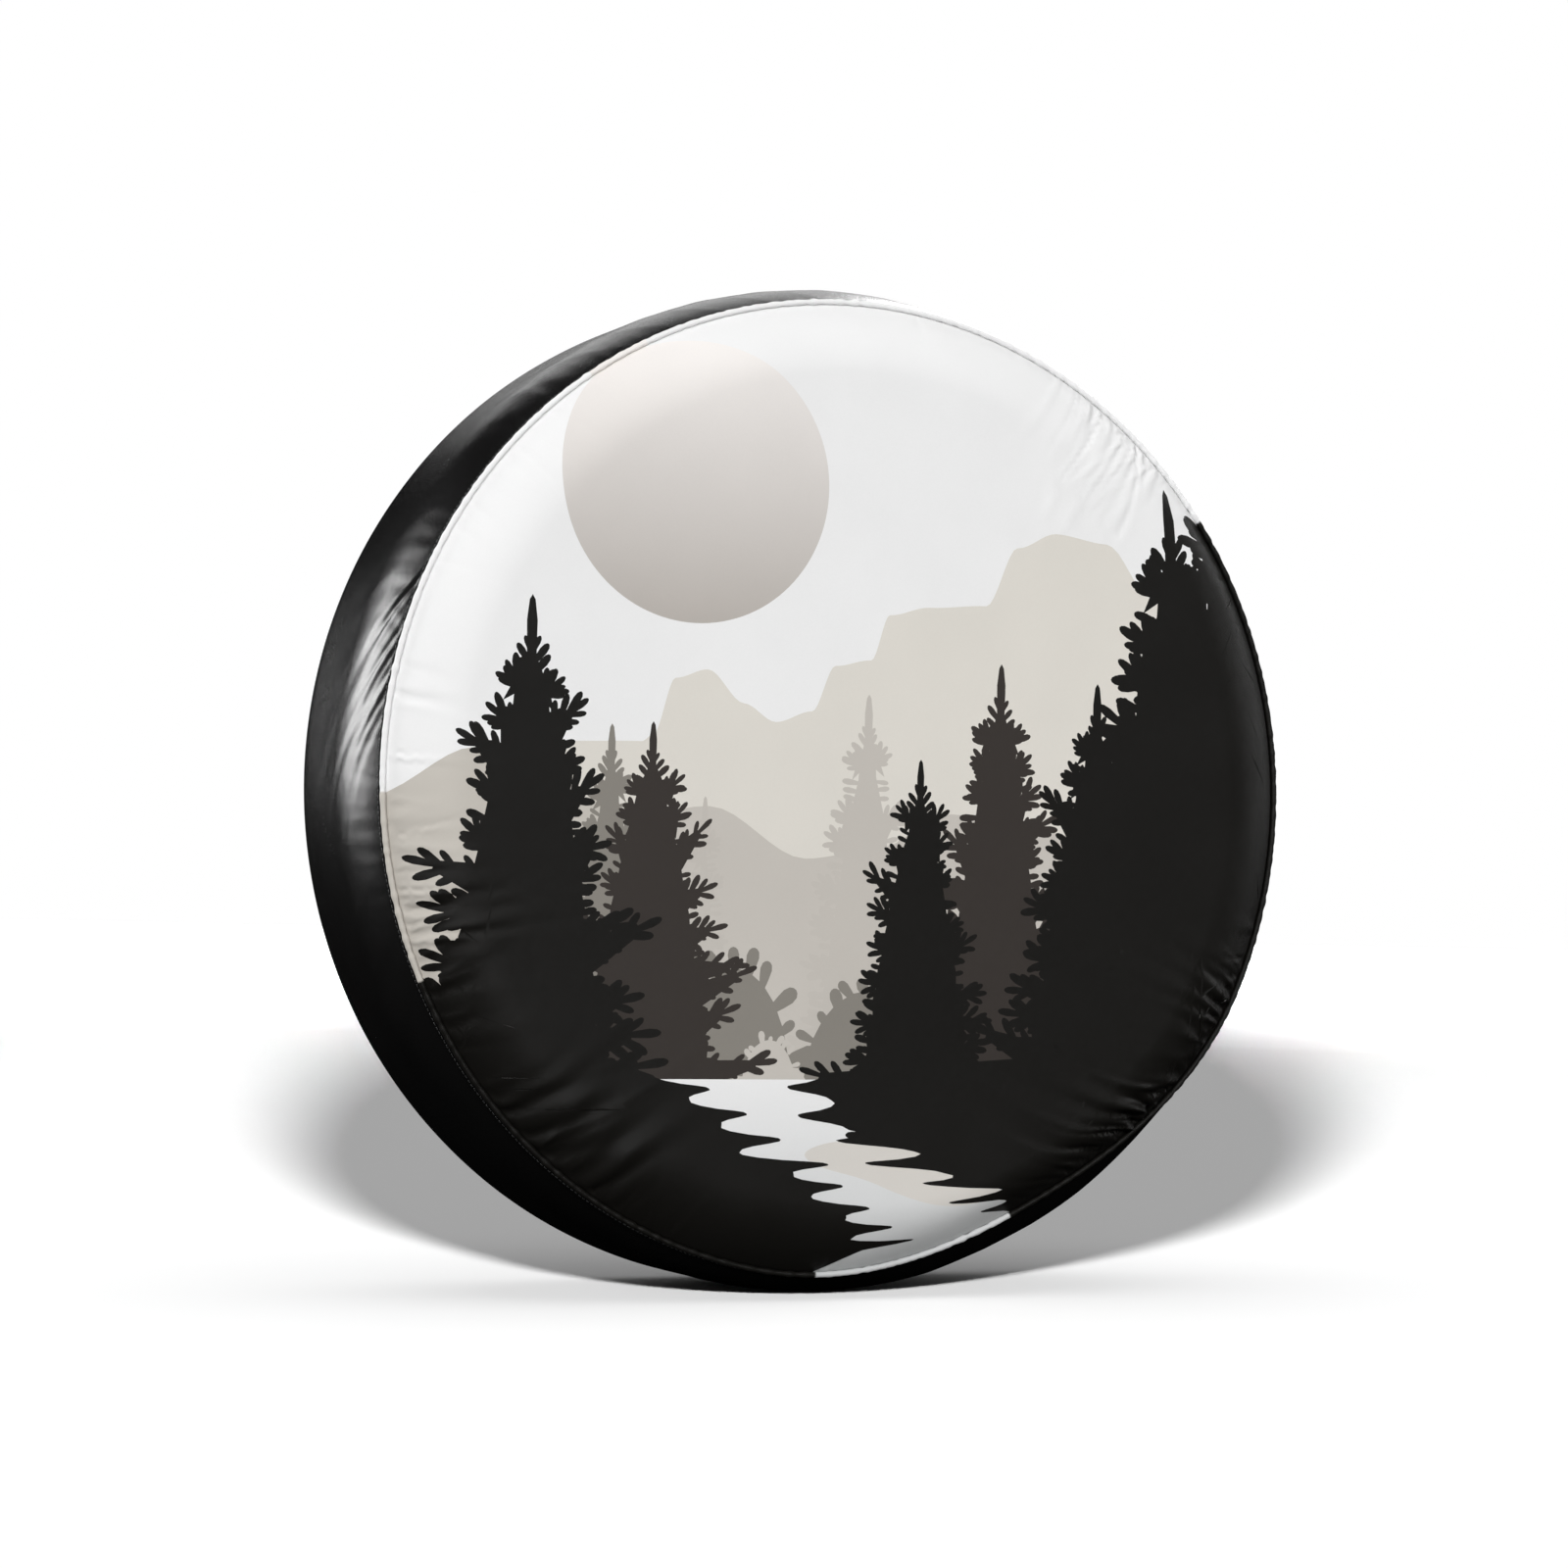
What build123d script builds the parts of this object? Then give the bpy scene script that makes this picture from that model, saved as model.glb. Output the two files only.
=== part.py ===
from build123d import *
import math
import os

# A spare tyre cover in the shape it takes on the wheel, open at the back.
# Millimetres, +Z up, the wheel's axis along Y, the printed face towards -Y.
# The origin is on the wheel's axis, midway between the front and the back.

os.makedirs("parts", exist_ok=True)

# The fitted shape, outside
COVER_R = 355.5            # over the tread, for a tyre of about 28 inches
COVER_DEPTH = 210.0        # front face to the back of the tyre
FLAT_R = 288.0             # flat middle of the printed front
SEAM_R = 338.6             # where the printed panel ends
SEAM_SETBACK = 24.0        # the seam lies this far behind the flat middle
TREAD_START_Y = -25.0      # the cover is cylindrical between these two
TREAD_END_Y = 45.0
HEM_OPENING_R = 214.0      # the stretched hem's opening

# The fabric and its seams
FABRIC = 1.2
TAPE = 0.8
FRONT_ALLOWANCE = 9.5      # turned-in edge at the front seam
BINDING_COVER = 6.5        # how far the binding laps the raw edges
WELT_R = 2.0               # piping, outside
WELT_CORD_R = 1.15
BAND_LAP_DEG = 60.0        # the band's rear edge, round the rear shoulder
SKIRT_LAP_DEG = 50.0       # the skirt starts under the band here
SEAM_TAPE_DEG = (50.5, 58.5)
JOIN_TAPE_WIDTH = 26.0     # inside, over the band's closing seam
JOIN_TAPE_INSET = 2.0

# The hem, a folded casing with an elastic cord inside
CASING_WALL = 1.0
CASING_HALF = 3.0
CASING_STRAIGHT_R = 226.0
CASING_LIP_R = 231.0
CASING_EDGE_R = 235.0
SKIRT_EDGE_R = 228.5
CORD_R = 1.6
CORD_RING_R = 219.0

# The two cord ends leave the casing through eyelets at the bottom of the back
EYELET_X = 6.0
EYELET_R = 220.5
EYELET_HOLE_R = 2.2
EYELET_BARREL_R = 2.6
EYELET_FLANGE_R = 4.4
EYELET_FLANGE = 0.5
EYELET_ROLL = 0.3          # rounded rim of the flange
EYELET_BARREL = CASING_WALL + 0.7
WASHER_R = 3.6
WASHER = 0.5
LEG_X = 1.75
LEG_Y = 112.0
LEG_GATHER_Z = -238.0
LEG_END_Z = -291.0
LEG_BENDS = [3.4, 4.6, 30.0]

# Cord lock: a barrel across the two cords, with a sprung plunger
LOCK_Z = -256.0
LOCK_R = 7.5
LOCK_BORE_R = 5.9
LOCK_CLOSED_X = -14.5
LOCK_FLOOR_X = -13.0
LOCK_OPEN_X = 8.5
LOCK_LIP_X = 6.5
LOCK_LIP_R = 5.2
LOCK_END_ROUND = 2.5
LOCK_RIM_ROUND = 0.8
LOCK_GROOVES_X = (-11.5, -8.5, 4.6)
LOCK_GROOVE = (0.9, 0.45)  # width, depth
CORD_SLOT = 4.0            # width of the slots that the cords run through
LOCK_SLOT = (-3.6, 3.6)
PLUNGER_R = 5.7
PLUNGER_NECK_R = 5.0
PLUNGER_INNER_X = -6.0
PLUNGER_SHOULDER_X = 6.4
PLUNGER_TIP_X = 13.5
PLUNGER_TIP_ROUND = 1.6
PLUNGER_SLOT = (-3.5, 7.5)
SPRING_R = 4.0
SPRING_WIRE_R = 0.3
SPRING_TURNS = 4
SPRING_END_GAP = 0.1

# Bell over the knotted cord ends
BELL_TOP_Z = -285.0
BELL_HEIGHT = 15.0
BELL_TOP_R = 4.6
BELL_MOUTH_R = 6.4
BELL_WALL = 1.2
BELL_ROOF = 3.0
BELL_ROUND = 1.2
BELL_ENTRY_GAP = 0.1       # daylight round the two cords
KNOT_R = 3.6
KNOT_TAIL_R = 2.9
KNOT_TAIL_DROP = 2.4
KNOT_OVERLAP = 0.4         # the cord's ends run this far into the knot

# Blank care label, inside the skirt
LABEL_SIZE = (32.0, 46.0, 0.5)
LABEL_ANGLE_DEG = 48.0

CUT = 8.0                  # length of tools that cut right through a thin wall
LOW = (Align.CENTER, Align.CENTER, Align.MIN)

FRONT_Y = -COVER_DEPTH / 2
BACK_Y = COVER_DEPTH / 2
SHOULDER_R = BACK_Y - TREAD_END_Y
SHOULDER_CENTRE_R = COVER_R - SHOULDER_R
SEAM_Y = FRONT_Y + SEAM_SETBACK
SKIRT_Y = BACK_Y - FABRIC
HEM_Y = SKIRT_Y - FABRIC / 2
ALLOWANCE_END_Y = SEAM_Y + WELT_R + FRONT_ALLOWANCE
WELT_CENTRE = (SEAM_R + 1.6, SEAM_Y - 1.0)
BAND_START = (SEAM_R + 2.4, SEAM_Y + WELT_R)


def spin(profile, degrees=360.0):
    """A ring about the wheel's axis, from a profile with radius as X and depth as Y."""
    return revolve(profile, Axis.Y, degrees)


def box_profile(low, high):
    """An upright rectangle between two corners, in radius and depth."""
    middle = ((low[0] + high[0]) / 2, (low[1] + high[1]) / 2)
    return Pos(*middle) * Rectangle(high[0] - low[0], high[1] - low[1])


def shoulder_point(radius, degrees):
    """A point round the rear shoulder, 0 degrees at the tread and 90 at the back."""
    angle = math.radians(degrees)
    return (SHOULDER_CENTRE_R + radius * math.cos(angle), TREAD_END_Y + radius * math.sin(angle))


def shoulder_strip(outer, inner, start, end):
    """A strip round the rear shoulder, between two radii and two angles."""
    middle = (start + end) / 2
    a, b, c = (shoulder_point(outer, angle) for angle in (start, middle, end))
    d, e, f = (shoulder_point(inner, angle) for angle in (end, middle, start))
    edges = [ThreePointArc(a, b, c), Line(c, d), ThreePointArc(d, e, f), Line(f, a)]
    return make_face(edges)


def front_panel():
    """The printed disc: flat middle, rounded border and an edge turned in at the seam."""
    rise = SEAM_SETBACK
    run = SEAM_R - FLAT_R
    turn = 2 * math.atan2(rise, run)
    radius = run / math.sin(turn)
    half = turn / 2
    outer_mid = (FLAT_R + radius * math.sin(half), FRONT_Y + radius * (1 - math.cos(half)))
    inner = radius - FABRIC
    centre_y = FRONT_Y + radius
    inner_end_r = SEAM_R - FABRIC
    inner_turn = math.asin((inner_end_r - FLAT_R) / inner)
    inner_mid = (FLAT_R + inner * math.sin(inner_turn / 2), centre_y - inner * math.cos(inner_turn / 2))
    inner_end = (inner_end_r, centre_y - inner * math.cos(inner_turn))
    edges = [
        Line((0, FRONT_Y), (FLAT_R, FRONT_Y)),
        ThreePointArc((FLAT_R, FRONT_Y), outer_mid, (SEAM_R, SEAM_Y)),
        Line((SEAM_R, SEAM_Y), (SEAM_R, ALLOWANCE_END_Y)),
        Line((SEAM_R, ALLOWANCE_END_Y), (inner_end_r, ALLOWANCE_END_Y)),
        Line((inner_end_r, ALLOWANCE_END_Y), inner_end),
        ThreePointArc(inner_end, inner_mid, (FLAT_R, FRONT_Y + FABRIC)),
        Line((FLAT_R, FRONT_Y + FABRIC), (0, FRONT_Y + FABRIC)),
        Line((0, FRONT_Y + FABRIC), (0, FRONT_Y)),
    ]
    profile = make_face(edges) - Pos(*WELT_CENTRE) * Circle(WELT_R)
    return spin(profile)


def welt_flange():
    return box_profile((SEAM_R, WELT_CENTRE[1]), (SEAM_R + TAPE, ALLOWANCE_END_Y))


def front_welt_cover():
    """A bias strip wrapped round the piping cord, its flange caught in the seam."""
    tube = Pos(*WELT_CENTRE) * Circle(WELT_R)
    core = Pos(*WELT_CENTRE) * Circle(WELT_CORD_R)
    return spin(tube + welt_flange() - core)


def front_welt_cord():
    return spin(Pos(*WELT_CENTRE) * Circle(WELT_CORD_R))


def front_seam_binding():
    """Tape folded over the raw edges of the front seam, inside."""
    inside_r = SEAM_R - FABRIC
    outside_r = SEAM_R + TAPE + FABRIC
    end = ALLOWANCE_END_Y
    start = end - BINDING_COVER
    outer = box_profile((inside_r - TAPE, start), (outside_r + TAPE, end + TAPE))
    inner = box_profile((inside_r, start - 1), (outside_r, end))
    return spin(outer - inner - band_profile())


def band_profile():
    """The band's section: turned-in edge, front curve, tread and rear shoulder."""
    run = COVER_R - BAND_START[0]
    length = TREAD_START_Y - BAND_START[1]
    turn = 2 * math.atan2(run, length)
    radius = length / math.sin(turn)
    centre = (COVER_R - radius, TREAD_START_Y)

    def front(arc_radius, angle):
        return (centre[0] + arc_radius * math.cos(angle), centre[1] - arc_radius * math.sin(angle))

    inner = radius - FABRIC
    lap = BAND_LAP_DEG
    inner_shoulder = SHOULDER_R - FABRIC
    edges = [
        ThreePointArc(front(radius, turn), front(radius, turn / 2), front(radius, 0)),
        Line((COVER_R, TREAD_START_Y), (COVER_R, TREAD_END_Y)),
        ThreePointArc(*(shoulder_point(SHOULDER_R, angle) for angle in (0, lap / 2, lap))),
        Line(shoulder_point(SHOULDER_R, lap), shoulder_point(inner_shoulder, lap)),
        ThreePointArc(*(shoulder_point(inner_shoulder, angle) for angle in (lap, lap / 2, 0))),
        Line((COVER_R - FABRIC, TREAD_END_Y), (COVER_R - FABRIC, TREAD_START_Y)),
        ThreePointArc(front(inner, 0), front(inner, turn / 2), front(inner, turn)),
        Line(front(inner, turn), front(radius, turn)),
    ]
    edge_r = SEAM_R + TAPE
    turned_in = box_profile((edge_r, BAND_START[1] - 0.6), (edge_r + FABRIC, ALLOWANCE_END_Y))
    profile = make_face(edges) + turned_in
    return profile - Pos(*WELT_CENTRE) * Circle(WELT_R) - welt_flange()


def tread_band():
    return spin(band_profile())


def tread_band_join_tape():
    """A strip inside the cylinder, over the seam that closes the band into a ring."""
    outside = COVER_R - FABRIC
    start = TREAD_START_Y + JOIN_TAPE_INSET
    profile = box_profile((outside - TAPE, start), (outside, TREAD_END_Y - JOIN_TAPE_INSET))
    degrees = math.degrees(JOIN_TAPE_WIDTH / COVER_R)
    return Rot(0, 90 - degrees / 2, 0) * spin(profile, degrees)


def rear_skirt():
    """The ring over the back of the tyre, lapped under the band at its outer edge."""
    outer = SHOULDER_R - FABRIC
    inner = outer - FABRIC
    lap = shoulder_strip(outer, inner, SKIRT_LAP_DEG, 90)
    flat = box_profile((SKIRT_EDGE_R, SKIRT_Y - FABRIC), (SHOULDER_CENTRE_R, SKIRT_Y))
    return spin(lap + flat)


def rear_seam_tape():
    inner = SHOULDER_R - 2 * FABRIC
    return spin(shoulder_strip(inner, inner - TAPE, *SEAM_TAPE_DEG))


def casing_half_section(half, tip_half, nose_r, edge_r):
    """A teardrop section: a round nose at the hem's edge that narrows to two lips."""
    nose = Pos(nose_r + half, HEM_Y) * Circle(half)
    corners = [
        (nose_r + half, HEM_Y - half),
        (CASING_STRAIGHT_R, HEM_Y - half),
        (CASING_LIP_R, HEM_Y - tip_half),
        (edge_r, HEM_Y - tip_half),
        (edge_r, HEM_Y + tip_half),
        (CASING_LIP_R, HEM_Y + tip_half),
        (CASING_STRAIGHT_R, HEM_Y + half),
        (nose_r + half, HEM_Y + half),
    ]
    return nose + make_face(Polyline(*corners, close=True))


def hem_casing():
    """Folded tape round the skirt's inner edge, pierced by the two eyelets."""
    lip = FABRIC / 2
    outer = casing_half_section(CASING_HALF, lip + CASING_WALL, HEM_OPENING_R, CASING_EDGE_R)
    room = casing_half_section(
        CASING_HALF - CASING_WALL, lip, HEM_OPENING_R + CASING_WALL, CASING_EDGE_R + 1
    )
    casing = spin(outer - room)
    for place in eyelet_places():
        casing -= Pos(*place) * Rot(-90, 0, 0) * Cylinder(EYELET_BARREL_R, CUT, align=LOW)
    return casing

def eyelet_places():
    """Centres of the two eyelets, in the middle of the casing's thickness."""
    z = -math.sqrt(EYELET_R**2 - EYELET_X**2)
    return [(side * EYELET_X, HEM_Y, z) for side in (-1, 1)]


def towards_back(shape, place, depth):
    """Turns a shape's own +Z to +Y and puts its foot at a depth behind an eyelet's place."""
    return Pos(place[0], place[1] + depth, place[2]) * Rot(-90, 0, 0) * shape


def cord_eyelets():
    """Two flanged eyelets through the casing's rear wall."""
    flange = Cylinder(EYELET_FLANGE_R, EYELET_FLANGE, align=LOW)
    flange = fillet(flange.edges().group_by(Axis.Z)[-1], EYELET_ROLL)
    barrel = Pos(0, 0, -EYELET_BARREL) * Cylinder(EYELET_BARREL_R, EYELET_BARREL, align=LOW)
    hole = Pos(0, 0, -CUT / 2) * Cylinder(EYELET_HOLE_R, CUT, align=LOW)
    eyelet = flange + barrel - hole
    return Compound([towards_back(eyelet, place, CASING_HALF) for place in eyelet_places()])


def cord_eyelet_washers():
    """The washers that the eyelets are set against, inside the casing."""
    washer = Cylinder(WASHER_R, WASHER, align=LOW) - Cylinder(EYELET_BARREL_R, CUT, align=LOW)
    depth = CASING_HALF - CASING_WALL - WASHER
    return Compound([towards_back(washer, place, depth) for place in eyelet_places()])


def cord_path():
    """The elastic's line: one leg, round the hem inside the casing, and the other leg."""
    left, right = eyelet_places()
    reach = math.sqrt(EYELET_R**2 - CORD_RING_R**2)
    from_bottom = math.asin(EYELET_X / EYELET_R) + math.atan2(reach, CORD_RING_R)
    start = (-CORD_RING_R * math.sin(from_bottom), HEM_Y, -CORD_RING_R * math.cos(from_bottom))
    end = (-start[0], HEM_Y, start[2])
    top = (0, HEM_Y, CORD_RING_R)
    ring = ThreePointArc(start, top, end)

    def leg(place, ring_end, side):
        corners = [
            ring_end,
            place,
            (place[0], LEG_Y, place[2]),
            (side * LEG_X, LEG_Y, LEG_GATHER_Z),
            (side * LEG_X, LEG_Y, LEG_END_Z),
        ]
        return FilletPolyline(*corners, radius=LEG_BENDS)

    return Wire(leg(left, start, -1).edges() + ring.edges() + leg(right, end, 1).edges())


def elastic_cord():
    path = cord_path()
    start = path @ 0
    direction = path % 0
    profile = Plane(origin=start, z_dir=direction) * Circle(CORD_R)
    cord = sweep(profile, path=path)
    print("elastic cord length", round(path.length, 1))
    return cord


def along_x(shape, x, z=LOCK_Z):
    """Lays a shape's own +Z along +X, its foot at x, on the lock's axis."""
    return Pos(x, LEG_Y, z) * Rot(0, 90, 0) * shape


def slot_cutter(span, reach):
    """A round-ended slot across the lock, for both cords to run through."""
    length = span[1] - span[0]
    slot = SlotOverall(length, CORD_SLOT)
    cutter = extrude(slot, reach, both=True)
    return Pos((span[0] + span[1]) / 2, LEG_Y, LOCK_Z) * cutter


def cord_lock_body():
    """A ribbed barrel, closed at one end, with a lip that keeps the plunger in."""
    length = LOCK_OPEN_X - LOCK_CLOSED_X
    barrel = Cylinder(LOCK_R, length, align=LOW)
    barrel = fillet(barrel.edges().group_by(Axis.Z)[0], LOCK_END_ROUND)
    barrel = fillet(barrel.edges().group_by(Axis.Z)[-1], LOCK_RIM_ROUND)
    body = along_x(barrel, LOCK_CLOSED_X)
    body -= along_x(Cylinder(LOCK_BORE_R, LOCK_LIP_X - LOCK_FLOOR_X, align=LOW), LOCK_FLOOR_X)
    body -= along_x(Cylinder(LOCK_LIP_R, CUT, align=LOW), LOCK_LIP_X - 0.5)
    width, depth = LOCK_GROOVE
    for x in LOCK_GROOVES_X:
        groove = Cylinder(LOCK_R + 1, width, align=LOW) - Cylinder(LOCK_R - depth, width, align=LOW)
        body -= along_x(groove, x)
    return body - slot_cutter(LOCK_SLOT, LOCK_R + 2)


def cord_lock_plunger():
    """The push button: a guided skirt, a narrower neck and a domed end."""
    guide = Cylinder(PLUNGER_R, PLUNGER_SHOULDER_X - PLUNGER_INNER_X, align=LOW)
    plunger = along_x(guide, PLUNGER_INNER_X)
    neck = Cylinder(PLUNGER_NECK_R, PLUNGER_TIP_X - PLUNGER_SHOULDER_X, align=LOW)
    neck = fillet(neck.edges().group_by(Axis.Z)[-1], PLUNGER_TIP_ROUND)
    plunger += along_x(neck, PLUNGER_SHOULDER_X)
    return plunger - slot_cutter(PLUNGER_SLOT, LOCK_R)


def cord_lock_spring():
    """A compression spring between the barrel's floor and the plunger."""
    end = SPRING_WIRE_R + SPRING_END_GAP
    room = PLUNGER_INNER_X - LOCK_FLOOR_X - 2 * end
    helix = Helix(pitch=room / SPRING_TURNS, height=room, radius=SPRING_R)
    wire = sweep(Plane(origin=helix @ 0, z_dir=helix % 0) * Circle(SPRING_WIRE_R), path=helix)
    return along_x(wire, LOCK_FLOOR_X + end)


def cord_end_bell():
    """A hollow bell that the two cords enter at the top, over their knot."""
    bell = Cone(BELL_MOUTH_R, BELL_TOP_R, BELL_HEIGHT, align=LOW)
    bell = fillet(bell.edges().group_by(Axis.Z)[-1], BELL_ROUND)
    room_height = BELL_HEIGHT - BELL_ROOF
    room = Cone(BELL_MOUTH_R - BELL_WALL, BELL_TOP_R - BELL_WALL, room_height, align=LOW)
    entry_half = CORD_R + BELL_ENTRY_GAP
    entry = extrude(SlotOverall(2 * (LEG_X + entry_half), 2 * entry_half), BELL_HEIGHT + 1)
    return Pos(0, LEG_Y, BELL_TOP_Z - BELL_HEIGHT) * (bell - room - entry)


def cord_end_knot():
    """The two ends tied together, kept in the bell."""
    knot = Sphere(KNOT_R) + Pos(0, 0, -KNOT_TAIL_DROP) * Sphere(KNOT_TAIL_R)
    return Pos(0, LEG_Y, LEG_END_Z - KNOT_R + KNOT_OVERLAP) * knot


def care_label():
    """A blank label on the skirt's inner side, caught under the hem casing."""
    width, height, thickness = LABEL_SIZE
    label = Box(width, thickness, height, align=(Align.CENTER, Align.MAX, Align.MAX))
    label = Pos(0, SKIRT_Y - FABRIC, -CASING_EDGE_R - 1) * label
    return Rot(0, LABEL_ANGLE_DEG, 0) * label


NODES = {
    "front_panel": front_panel,
    "front_welt_cord": front_welt_cord,
    "front_welt_cover": front_welt_cover,
    "front_seam_binding": front_seam_binding,
    "tread_band": tread_band,
    "tread_band_join_tape": tread_band_join_tape,
    "rear_skirt": rear_skirt,
    "rear_seam_tape": rear_seam_tape,
    "hem_casing": hem_casing,
    "elastic_cord": elastic_cord,
    "cord_eyelets": cord_eyelets,
    "cord_eyelet_washers": cord_eyelet_washers,
    "cord_lock_body": cord_lock_body,
    "cord_lock_plunger": cord_lock_plunger,
    "cord_lock_spring": cord_lock_spring,
    "cord_end_bell": cord_end_bell,
    "cord_end_knot": cord_end_knot,
    "care_label": care_label,
}

for name, make in NODES.items():
    export_step(make(), f"parts/{name}.step")
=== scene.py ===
import math
import random

import bmesh
import bpy
import numpy as np
from mathutils import Matrix, Vector
from mathutils.geometry import delaunay_2d_cdt


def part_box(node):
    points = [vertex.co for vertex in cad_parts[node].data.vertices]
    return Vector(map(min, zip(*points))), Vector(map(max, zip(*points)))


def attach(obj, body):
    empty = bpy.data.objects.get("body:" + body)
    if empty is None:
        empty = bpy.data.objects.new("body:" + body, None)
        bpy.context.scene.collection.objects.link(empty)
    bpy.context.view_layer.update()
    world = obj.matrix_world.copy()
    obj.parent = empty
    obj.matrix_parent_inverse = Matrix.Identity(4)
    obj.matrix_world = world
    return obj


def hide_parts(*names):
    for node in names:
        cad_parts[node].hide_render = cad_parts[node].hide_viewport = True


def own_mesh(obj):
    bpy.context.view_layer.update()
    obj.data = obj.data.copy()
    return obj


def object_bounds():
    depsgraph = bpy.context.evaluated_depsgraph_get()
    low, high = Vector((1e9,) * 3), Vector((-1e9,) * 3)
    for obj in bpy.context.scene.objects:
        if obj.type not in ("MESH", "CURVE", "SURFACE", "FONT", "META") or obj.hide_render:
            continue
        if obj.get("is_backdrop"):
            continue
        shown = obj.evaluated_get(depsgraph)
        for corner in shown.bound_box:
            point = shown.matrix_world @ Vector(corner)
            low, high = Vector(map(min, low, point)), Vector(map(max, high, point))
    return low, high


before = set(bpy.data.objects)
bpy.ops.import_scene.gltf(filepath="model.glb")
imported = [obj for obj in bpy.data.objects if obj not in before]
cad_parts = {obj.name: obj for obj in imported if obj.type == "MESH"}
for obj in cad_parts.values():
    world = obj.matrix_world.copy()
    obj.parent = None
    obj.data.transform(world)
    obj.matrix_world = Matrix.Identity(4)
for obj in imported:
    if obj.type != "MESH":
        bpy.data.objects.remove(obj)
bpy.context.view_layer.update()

# A fitted spare tyre cover: printed front, piped seam, glossy black band, gathered back.
# Metres, +Z up, the wheel's axis along Y, the printed face towards -Y.
# An angle round the wheel starts at +X and runs up through +Z.

MM = 0.001

# Places that the CAD pieces give
panel_low, panel_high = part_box("front_panel")
band_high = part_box("tread_band")[1]
casing_low, casing_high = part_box("hem_casing")
skirt_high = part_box("rear_skirt")[1]
eyelet_low, eyelet_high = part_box("cord_eyelets")
label_low, label_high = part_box("care_label")

FABRIC = 1.2 * MM
TAPE = 0.8 * MM
FRONT_Y = panel_low.y
ALLOWANCE_END_Y = panel_high.y
SEAM_R = panel_high.x
SEAM_Y = FRONT_Y + 24 * MM
FLAT_R = 288 * MM
TREAD_R = band_high.x
TREAD_START_Y = -25 * MM
TREAD_END_Y = 45 * MM
SHOULDER_R = 60 * MM
SHOULDER_CENTRE_R = TREAD_R - SHOULDER_R
BAND_LAP = math.radians(60)
SKIRT_LAP = math.radians(50)
SKIRT_Y = skirt_high.y
SKIRT_EDGE_R = 228.5 * MM
WELT_R = 2 * MM
WELT_CORD_R = 1.15 * MM
WELT_CENTRE = (SEAM_R + 1.6 * MM, SEAM_Y - 1 * MM)
BAND_START = (SEAM_R + 2.4 * MM, SEAM_Y + 2 * MM)
HEM_Y = (casing_low.y + casing_high.y) / 2
CASING_HALF = (casing_high.y - casing_low.y) / 2
CASING_WALL = 1 * MM
CASING_EDGE_R = casing_high.x
CASING_LIP_R = CASING_EDGE_R - 4 * MM
CASING_STRAIGHT_R = CASING_EDGE_R - 9 * MM
HEM_OPENING_R = 214 * MM
CORD_R = 1.6 * MM
CORD_RING_R = 219 * MM
BOTTOM = math.radians(270)
SEAM_DRAW = 15 * MM        # how far the front seam is pulled in, at its most
SEAM_DRAW_PLACE = math.radians(-62)
SEAM_DRAW_HALF = math.radians(38)
FOLD_ROOM = 140 * MM       # no fold of the face reaches further in from the seam
LAP_PLACE = math.radians(55)


# ---- Shapes of cloth ----

def smooth(t):
    t = np.clip(t, 0.0, 1.0)
    return t * t * (3 - 2 * t)


def turn_between(angle, centre):
    """How far an angle is from a centre angle, wrapped to half a turn each way."""
    return (angle - centre + math.pi) % (2 * math.pi) - math.pi


def ring_angles(count):
    """Even angles round a full turn."""
    return 2 * math.pi * np.arange(count) / count


def off_bottom(angle, start, run):
    """0 near the bottom of the wheel, rising to 1 over a run of angle past a start."""
    return smooth((np.abs(turn_between(angle, BOTTOM)) - start) / run)


def ripples(angle, count, seed, spread=0.35):
    """Irregular folds round a ring, about count of them, roughly between -1 and 1."""
    rng = np.random.default_rng(seed)
    total = np.zeros_like(angle)
    waves = 9
    for _ in range(waves):
        number = round(count * (1 + rng.uniform(-spread, spread)))
        total = total + np.sin(number * angle + rng.uniform(0, 2 * math.pi))
    return total / math.sqrt(waves) * 1.1


def creased(wave):
    """Turns smooth folds into folds with narrower, sharper valleys."""
    return 1.0 - 2.0 * np.abs(np.sin(wave * math.pi / 4)) ** 0.8


def strength_at(angle, base, places):
    """A strength round the ring: a base and bumps given by angle, half width and height."""
    strength = np.full_like(angle, base)
    for centre, width, height in places:
        away = turn_between(angle, math.radians(centre)) / math.radians(width)
        strength = strength + height * np.exp(-away * away)
    return strength


def draw_folds(seed, count, base, places, width, length, height, lean=0.0):
    """Single folds that run in from a seam, more and deeper where the cloth is drawn harder."""
    rng = np.random.default_rng(seed)
    folds = []
    peak = base + max(bump for _, _, bump in places)
    while len(folds) < count:
        angle = rng.uniform(0, 2 * math.pi)
        strength = float(strength_at(np.array([angle]), base, places)[0])
        if rng.uniform(0, peak) < strength:
            size = rng.uniform(0.55, 1.45)
            side = 1 if rng.uniform() < 0.3 else -1
            reach = length * rng.uniform(0.6, 1.4) * (0.6 + strength)
            rise = side * height * size * rng.uniform(0.5, 1.3) * (0.35 + strength)
            folds.append((angle, lean + rng.normal(0, 0.2), width * size, reach, rise))
    return folds


def folded(angle, inward, radius, folds):
    """The height of folds at places given by angle and distance in from their seam."""
    height = np.zeros_like(angle)
    for centre, slant, width, length, rise in folds:
        aside = turn_between(angle, centre) * radius - slant * inward
        near = (np.abs(aside) < 9 * width) & (inward < 2.6 * length)
        far = inward[near] / length
        across = aside[near] / (width * (0.75 + 0.7 * far))
        ridge = (1 - across ** 2) * np.exp(-across ** 2 / 2)
        height[near] += rise * ridge * np.exp(-far ** 1.6)
    return height * smooth(inward / (4 * MM))


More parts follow.
